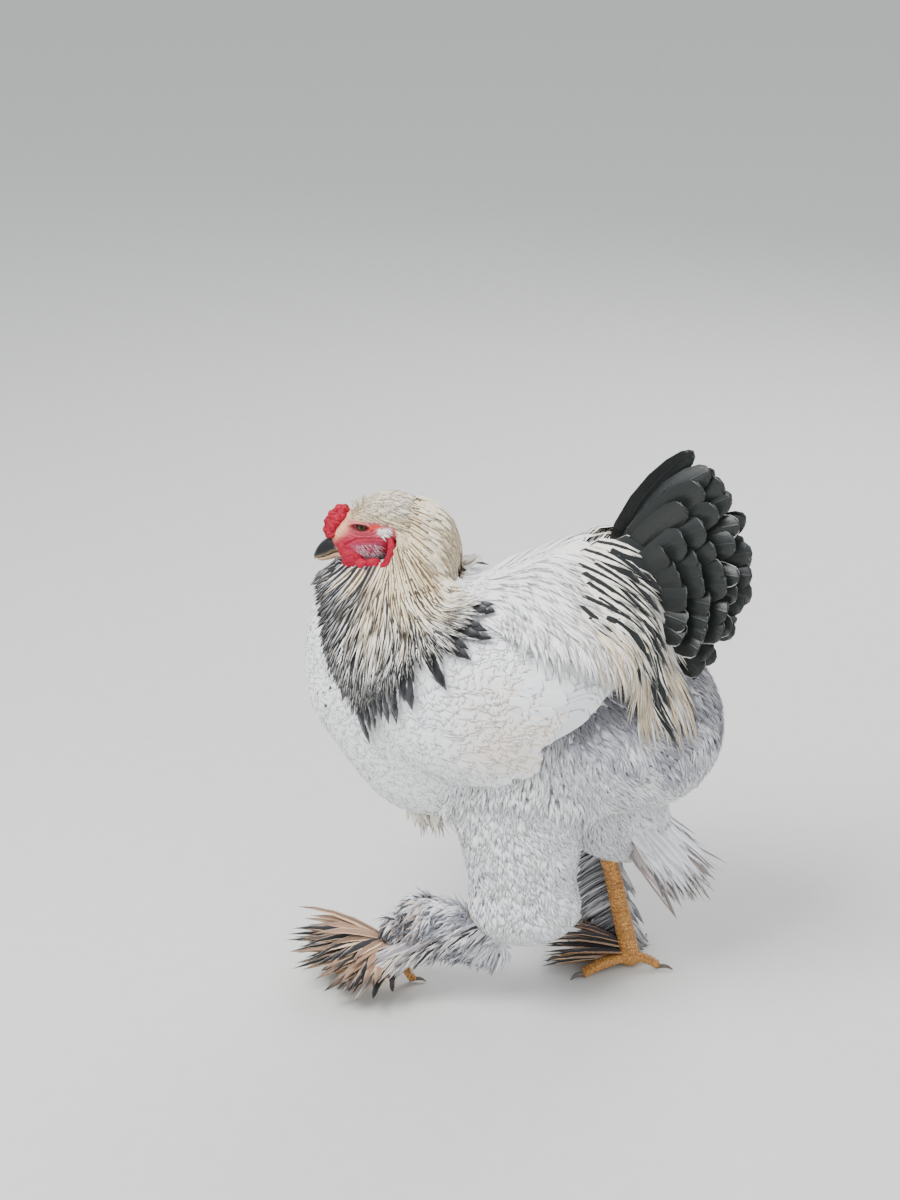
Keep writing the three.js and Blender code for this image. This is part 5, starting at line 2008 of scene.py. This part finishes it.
@dataclass
class Head:
    """The face, comb, beak, eyes, wattles and ear lobes."""

    anatomy: Anatomy

    BROW = ((-161, 503), (-151, 504.5), (-141, 506), (-128, 505.5))
    STREAK = ((-143, 498), (-131, 500))
    BAND = ((-157, 518), (-163, 505), (-170, 492), (-186, 479))
    LORE = ((-182, 466), (-170, 474), (-155, 484), (-138, 487), (-124, 488))
    CHEEK = ((-160, 477), (-146, 480), (-131, 482), (-131, 470), (-134, 461), (-146, 461), (-155, 470))
    SOCKET = (-150.5, 497.0, 8.8, 4.0)

    def build(self) -> list[Piece]:
        """Build each part of the head."""
        face = self.face()
        parts = [face, self.bristles(face), self.comb(), *self.beak(), *self.eyes()]
        return [*parts, *self.wattles(), *self.ear_lobes()]

    def face(self) -> Piece:
        """Wrap the face over the head's form and work in its lids, brow and folds."""
        dewlap = Lobe((0, -163, 447), (6, 11, 9), 30)
        ground = Body([self.anatomy.head, dewlap], 8)
        points, faces = wrapped(ground, (0, -148, 488), 6)
        x, y, z = points.T
        mid_y, mid_z, wide, high = self.SOCKET
        ring = np.hypot((y - mid_y) / wide, (z - mid_z - 0.06 * (y - mid_y)) / high)
        bare = Markings.bare(points, self.anatomy)
        lids = 1.2 * bump_of(ring - 1.3, 0.24) * (1 + 0.5 * ease(495, 499, z))
        rings = 0.35 * np.cos(11 * (ring - 1.3)) * ease(1.4, 1.7, ring) * ease(3.2, 2.2, ring)
        hollow = -2.9 * ease(1.06, 0.74, ring)
        brow = 0.9 * bump_of(from_line(self.BROW, y, z), 1.9)
        crease = -0.9 * bump_of(from_line(self.LORE, y, z), 1.1)
        band = 0.6 * bump_of(from_line(self.BAND, y, z), 3.4)
        fine = 0.3 * ripple(points, 1.7) + 0.35 * ripple(points * [1, 0.5, 1.4], 2.6, 2)
        lift = lids + rings + hollow + brow + crease + band + fine * ease(1.1, 1.5, ring)
        side = ease(7, 12, np.abs(x))
        points = points + ground.slope(points) * (lift * side * bare)[:, None]
        mesh = mesh_of("face", points, faces)
        stain(mesh, "tone", self.tones(x, y, z, ring, bare))
        made = object_of("face", mesh, FleshFinish("face_skin").material())
        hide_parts("head")
        return made

    def tones(self, x: Array, y: Array, z: Array, ring: Array, bare: Array) -> Array:
        """Colour the face: red below, peach and pink above the eye, cream under the feathers."""
        tone = np.broadcast_to(shade("a81238"), (len(y), 3)).copy()
        around_cheek = ease(4, -3, from_line((*self.CHEEK, self.CHEEK[0]), y, z) * ~inside(self.CHEEK, y, z))
        for colour, mask in (
            ("d86878", ease(480, 492, z) * 0.4),
            ("9c2340", bump_of(from_line(((-168, 466), (-150, 468), (-136, 472)), y, z), 7) * 0.6),
            ("a85a70", around_cheek * 0.9),
            ("ecae8a", bump_of(from_line(self.BAND, y, z), 5.2)),
            ("e08c84", bump_of(from_line(self.BROW, y, z), 2.6) * 0.9),
            ("d03a26", bump_of(from_line(self.STREAK, y, z), 2.4)),
            ("f0c4b8", bump_of(from_line(((-182, 466.5), (-173, 467.5)), y, z), 2.4)),
            ("6d2b2a", bump_of(ring - 0.95, 0.26) * 0.8),
            ("f4ecee", bump_of(from_line(((-130, 495), (-122, 497)), y, z), 3.0) * 1.1),
        ):
            tone = blend(tone, shade(colour), np.clip(mask, 0, 1)[:, None])
        plumed = np.broadcast_to(BEIGE, tone.shape).copy()
        plumed = blend(plumed, SLATE, (ease(-120, -140, y) * ease(470, 455, z))[:, None])
        dewlap = bump_of(from_line(((-170, 440), (-160, 449)), y, z), 7)
        plumed = blend(plumed, shade("c9788a"), dewlap[:, None])
        return np.where(bare[:, None], tone, plumed)

    def bristles(self, face: Piece) -> Piece:
        """Grow short pale bristles on the cheeks."""
        points = spots_of(face.data)
        x, y, z = points.T
        chosen = inside(self.CHEEK, y, z) & (np.abs(x) > 10)
        corners = np.array([list(face.vertices) for face in face.data.polygons])
        patch = mesh_of("cheek_patch", points, corners[chosen[corners].all(axis=1)])
        growth = Growth("bristles")
        density = growth.input("Density", "Float", 190_000.0)
        length = growth.input("Length", "Float", 0.0062)
        thick = growth.input("Thickness", "Float", 0.00024)
        lie = growth.input("Lie", "Vector", (0.0, 0.82, -0.34))
        seed = growth.input("Seed", "Int", 4)
        paint = Paint("cheek_bristle", Roughness=0.7)
        pale = paint.noise(paint.place(), 900, 2).ramp(0.35, 0.6)
        paint.feed("Base Color", paint.mix(pale, shade("8a5f70"), shade("d9c2ca")))
        finish = growth.input("Material", "Material", paint.material)
        ground = Value(growth, growth.entry.outputs["Geometry"])
        sockets = {"Mesh": ground, "Density": density, "Seed": seed}
        spread = growth.node("GeometryNodeDistributePointsOnFaces", {}, sockets, "Points")
        out = Value(growth, spread.socket.node.outputs["Normal"])
        shape = {"Vertices": 4, "Radius Top": thick * 0.2, "Radius Bottom": thick, "Depth": length}
        bristle = growth.node("GeometryNodeMeshCone", {}, shape, "Mesh")
        stray = {0: (-0.3, -0.3, -0.3), 1: (0.3, 0.3, 0.3), "Seed": seed}
        turn = growth.node("FunctionNodeRandomValue", {"data_type": "FLOAT_VECTOR"}, stray)
        lifted = growth.node("ShaderNodeVectorMath", {"operation": "SCALE"}, {0: out, "Scale": 0.42})
        way = growth.node("ShaderNodeVectorMath", {"operation": "ADD"}, {0: lifted, 1: lie})
        way = growth.node("ShaderNodeVectorMath", {"operation": "ADD"}, {0: way, 1: turn})
        aim = growth.node("FunctionNodeAlignRotationToVector", {"axis": "Z"}, {"Vector": way})
        size = growth.node("FunctionNodeRandomValue", {}, {2: 0.6, 3: 1.2, "Seed": seed}, 1)
        grown = {"Points": spread, "Instance": bristle, "Rotation": aim, "Scale": size}
        bristles = growth.node("GeometryNodeInstanceOnPoints", {}, grown)
        made = growth.grow("cheek_bristles", patch, bristles, finish)
        piece = object_of("cheek_bristles", made, paint.material)
        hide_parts("head")
        return piece

    def comb(self) -> Piece:
        """Melt the comb's three rows into a low wrinkled cushion along the forehead."""
        line = [(0, -184, 477), (0, -184, 487), (0, -181, 496), (0, -174.5, 504), (0, -166, 509)]
        ridge = smooth_path(line, 26)
        share = np.linspace(0, 1, 26)
        swell = 1 + 0.1 * np.cos(share * 5 * 2 * math.pi)
        radii = np.interp(share, [0, 0.15, 0.5, 0.85, 1], [5.0, 7.4, 8.2, 7.2, 4.2]) * swell
        spots, faces = tube(ridge, radii, 24)
        shells = [(spots * [0.75, 1, 1], faces)]
        for side in Side:
            beside = ridge[3:-3] + [side.value * 6.2, 2.6, -1.2]
            spots, faces = tube(beside, radii[3:-3] * 0.7, 20)
            shells.append((spots, faces))
        mesh = remeshed("comb_flesh", shells, 0.62, 6)
        points = spots_of(mesh)
        wander = ripple(points * [1, 0.7, 1], 3.6, 4) + 0.25 * ripple(points, 1.5, 6)
        groove = bump_of(wander, 0.13)
        normals = np.empty(3 * len(points))
        mesh.vertices.foreach_get("normal", normals)
        lift = 0.45 * np.abs(wander) - 0.75 * groove + 0.16 * ripple(points, 0.9, 7)
        move_spots(mesh, points + normals.reshape(-1, 3) * lift[:, None])
        # The grooves are also painted a darker red: painted shade in the creases.
        stain(mesh, "tone", blend(shade("a6062a"), shade("640820"), (0.7 * groove)[:, None]))
        made = object_of("comb_flesh", mesh, FleshFinish("comb_skin", 700).material())
        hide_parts("comb")
        return made

    def beak(self) -> list[Piece]:
        """Loft the hooked upper beak and the lower one from their outlines."""
        top = [(-172, 482), (-184, 478.5), (-190, 475), (-195, 470.5), (-199, 464.5)]
        top += [(-201.6, 458.5), (-201.4, 454)]
        edge = [(-170, 468.5), (-181, 465.5), (-187, 461.3), (-192, 458.8), (-196, 457)]
        edge += [(-199, 455), (-201, 453.2)]
        upper = self.shell(top, edge, (11, 9.4, 7.8, 6.0, 4.2, 2.3, 0.4), 0.12)
        under = [(-168, 457.5), (-178, 456.5), (-186, 454.2), (-192, 452.6), (-196, 452.4), (-198.4, 453.6)]
        rim = [(-168, 466), (-178, 464.2), (-186, 460.4), (-192, 457.4), (-196, 455.9), (-198.8, 454.7)]
        lower = self.shell(under, rim, (9.4, 8.0, 6.4, 4.6, 2.8, 0.5), 0.0)
        made = []
        for word, (points, faces), colours in (
            ("upper", upper, ("17181b", "b49c80")),
            ("lower", lower, ("c89a80", "dcc09a")),
        ):
            if word == "lower":
                faces = faces[:, ::-1]
            mesh = mesh_of(f"{word}_beak_horn", points, faces)
            x, y, z = points.T
            line = edge if word == "upper" else rim
            pale = np.clip(bump_of(from_line(line, y, z), 1.5) + ease(-180, -174, y) * 0.7, 0, 1)
            tone = blend(shade(colours[0]), shade(colours[1]), pale[:, None])
            # Painted highlight: the ridge of the upper beak is lightened towards grey.
            wear_and_highlight = 0.5 * ease(3.5, 0.5, np.abs(x)) * (word == "upper")
            tone = blend(tone, shade("77757a"), wear_and_highlight[:, None])
            stain(mesh, "tone", tone)
            horn = object_of(mesh.name, mesh, HornFinish(f"{word}_horn").material())
            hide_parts(f"beak_{word}")
            made.append(horn)
        return made

    @staticmethod
    def shell(ridge: Sequence, edge: Sequence, widths: Sequence[float], hollow: float) -> Shell:
        """Arch a skin from a ridge down to an edge on both sides.

        Args:
            ridge: The middle line, from the side.
            edge: The edge below it.
            widths: Half the width between the edges at each.
            hollow: How far the underside is let in, as a share of the height.

        Returns:
            The points and the faces.
        """
        count = 34
        flat = np.zeros((len(ridge), 1))
        tops = smooth_path(np.concatenate([flat, np.array(ridge)], axis=1), count)
        lows = smooth_path(np.concatenate([flat, np.array(edge)], axis=1), count)
        half = np.interp(np.linspace(0, 1, count), np.linspace(0, 1, len(widths)), widths)
        turn = np.linspace(0, 2 * math.pi, 40, endpoint=False)
        rise = np.where(np.sin(turn) > 0, np.abs(np.sin(turn)) ** 0.85, hollow * np.abs(np.sin(turn)))
        across = np.sign(np.cos(turn)) * np.abs(np.cos(turn)) ** 0.9
        rings = lows[:, None] + (tops - lows)[:, None] * rise[None, :, None]
        rings[..., 0] = half[:, None] * across
        return loft(rings)

    def eyes(self) -> list[Piece]:
        """Set a round dark eye behind each pair of lids."""
        made = []
        for side in Side:
            ways, faces = ball(5)
            at = EYE * [side.value, 1, 1]
            mesh = mesh_of(f"{side.word}_eyeball", at + ways * 6.4, faces)
            paint = Paint(f"{side.word}_iris", Roughness=0.2, Specular_IOR_Level=0.3)
            x, y, z = paint.split(paint.place())
            middle = (EYE + SHIFT) / 1000
            out = ((y - middle[1]) ** 2 + (z - middle[2]) ** 2) ** 0.5
            iris = paint.mix(out.ramp(0.003, 0.0048), shade("4c3a1c"), shade("1c130c"))
            paint.feed("Base Color", paint.mix(out.ramp(0.0019, 0.0023), shade("070605"), iris))
            eye = object_of(mesh.name, mesh, paint.material)
            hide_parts(f"{side.word}_eye")
            made.append(eye)
        return made

    def flesh(self, name: str, shells: list, node: str) -> Piece:
        """Melt shells into a fold of red flesh with a wrinkled skin."""
        mesh = remeshed(name, shells, 0.8, 4)
        points = spots_of(mesh)
        wander = ripple(points * [1, 1, 0.6], 4.2, 9)
        groove = bump_of(wander, 0.12)
        normals = np.empty(3 * len(points))
        mesh.vertices.foreach_get("normal", normals)
        lift = 0.22 * ripple(points, 1.8, 5) - 0.4 * groove
        move_spots(mesh, points + normals.reshape(-1, 3) * lift[:, None])
        # The grooves are also painted a darker red: painted shade in the creases.
        stain(mesh, "tone", blend(shade("a6082e"), shade("720c26"), (0.5 * groove)[:, None]))
        made = object_of(name, mesh, FleshFinish(f"{name}_skin", 800).material())
        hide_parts(node)
        return made

    def wattles(self) -> list[Piece]:
        """Hang a rounded wattle under each side of the jaw."""
        made = []
        for side in Side:
            s = side.value
            lobes = [
                Lobe((s * 14.5, -160, 460.5), (4.8, 11.0, 13.0), 20, s * 8),
                Lobe((s * 13.0, -168.5, 470), (4.2, 6.0, 8.5), 12, s * 14),
                Lobe((s * 16.5, -147, 456), (4.8, 11.5, 7.4), 6, s * 6),
                Lobe((s * 20.0, -137, 459), (4.4, 8.5, 7.0), -20, s * 4),
            ]
            shells = [wrapped(lobe, lobe.at, 4) for lobe in lobes]
            made.append(self.flesh(f"{side.word}_wattle_flesh", shells, f"{side.word}_wattle"))
        return made

    def ear_lobes(self) -> list[Piece]:
        """Hang a long ear lobe behind each cheek, curled forward at its end."""
        made = []
        for side in Side:
            path = [(25.5, -120, 490), (27, -118.5, 479), (27, -121, 467.5)]
            path += [(24.5, -127, 458.5), (21, -136, 454)]
            line = smooth_path(np.array(path) * [side.value, 1, 1], 22)
            radii = np.interp(np.linspace(0, 1, 22), [0, 0.2, 0.7, 0.9, 1], [2.2, 4.4, 5.4, 5.0, 3.0])
            shells = [tube(line, radii, 20)]
            made.append(self.flesh(f"{side.word}_ear_flesh", shells, f"{side.word}_earlobe"))
        return made


@dataclass
class Studio:
    """The camera at the photograph's angle, soft lights and a plain pale floor."""

    lens: float = 69.0
    pitch: float = 22.5
    yaw: float = 9.0
    eye: tuple[float, float, float] = (2065.5, 261.3, 1284.4)

    def build(self) -> None:
        """Set up the camera, the lights and the floor."""
        self.camera()
        self.floor()
        self.light("key", (1.2, -1.0, 2.6), 1.4, 118)
        self.light("fill", (2.4, 2.0, 1.2), 2.2, 30)
        self.light("rim", (-1.8, 0.6, 1.8), 1.6, 40)
        world = bpy.data.worlds.new("studio")
        world.use_nodes = True
        world.node_tree.nodes["Background"].inputs["Color"].default_value = (0.93, 0.96, 1.0, 1)
        world.node_tree.nodes["Background"].inputs["Strength"].default_value = 0.9
        bpy.context.scene.world = world

    def camera(self) -> None:
        """Place the camera."""
        data = bpy.data.cameras.new("camera")
        data.lens = self.lens
        data.sensor_width = 36
        made = bpy.data.objects.new("camera", data)
        made.location = (np.array(self.eye) + SHIFT) / 1000
        tilt = math.radians(90 - self.pitch)
        made.rotation_euler = (tilt, 0, math.radians(90 + self.yaw))
        bpy.context.scene.collection.objects.link(made)
        bpy.context.scene.camera = made

    def floor(self) -> None:
        """Lay the floor."""
        mesh = bpy.data.meshes.new("floor")
        mesh.from_pydata([(-30, -30, 0), (30, -30, 0), (30, 30, 0), (-30, 30, 0)], [], [(0, 1, 2, 3)])
        made = bpy.data.objects.new("floor", mesh)
        bpy.context.scene.collection.objects.link(made)
        paint = Paint("floor", Roughness=0.85)
        grain = paint.noise(paint.place(), 40, 3)
        paint.feed("Base Color", paint.tint(paint.mix(0.0, shade("cfd0cc"), WHITE), 0.96 + grain * 0.08))
        mesh.materials.append(paint.material)

    def light(self, name: str, place: tuple, size: float, power: float) -> None:
        """Hang a square light that looks at the bird."""
        data = bpy.data.lights.new(name, "AREA")
        data.size = size
        data.energy = power
        made = bpy.data.objects.new(name, data)
        made.location = place
        way = np.array([0, 0, 0.3]) - np.array(place)
        flat = math.hypot(way[0], way[1])
        made.rotation_euler = (math.atan2(flat, -way[2]), 0, math.atan2(way[1], way[0]) - math.pi / 2)
        bpy.context.scene.collection.objects.link(made)


def fit_box() -> None:
    """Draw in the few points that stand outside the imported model's box."""
    low, high = (np.array(corner) * 1000 - SHIFT for corner in CAD_BOX)
    for made in bpy.data.objects:
        if made.type == "MESH" and made.name != "floor":
            spots = spots_of(made.data)
            if (spots < low).any() or (spots > high).any():
                move_spots(made.data, np.clip(spots, low, high))


def main() -> None:
    """Build every sub-assembly in order."""
    logging.basicConfig(level=logging.INFO, format="%(message)s")
    form = Anatomy()
    Studio().build()
    Skin(form).build()
    BodyCoat(form).build()
    for side in Side:
        Wing(form, side).build()
    Saddle(form).build()
    Tail(form).build()
    Hackle(form).build()
    Crown(form).build()
    Fluff(form).build()
    for leg in form.legs.values():
        Foot(leg).build()
    Head(form).build()
    fit_box()


if __name__ == "__main__":
    main()
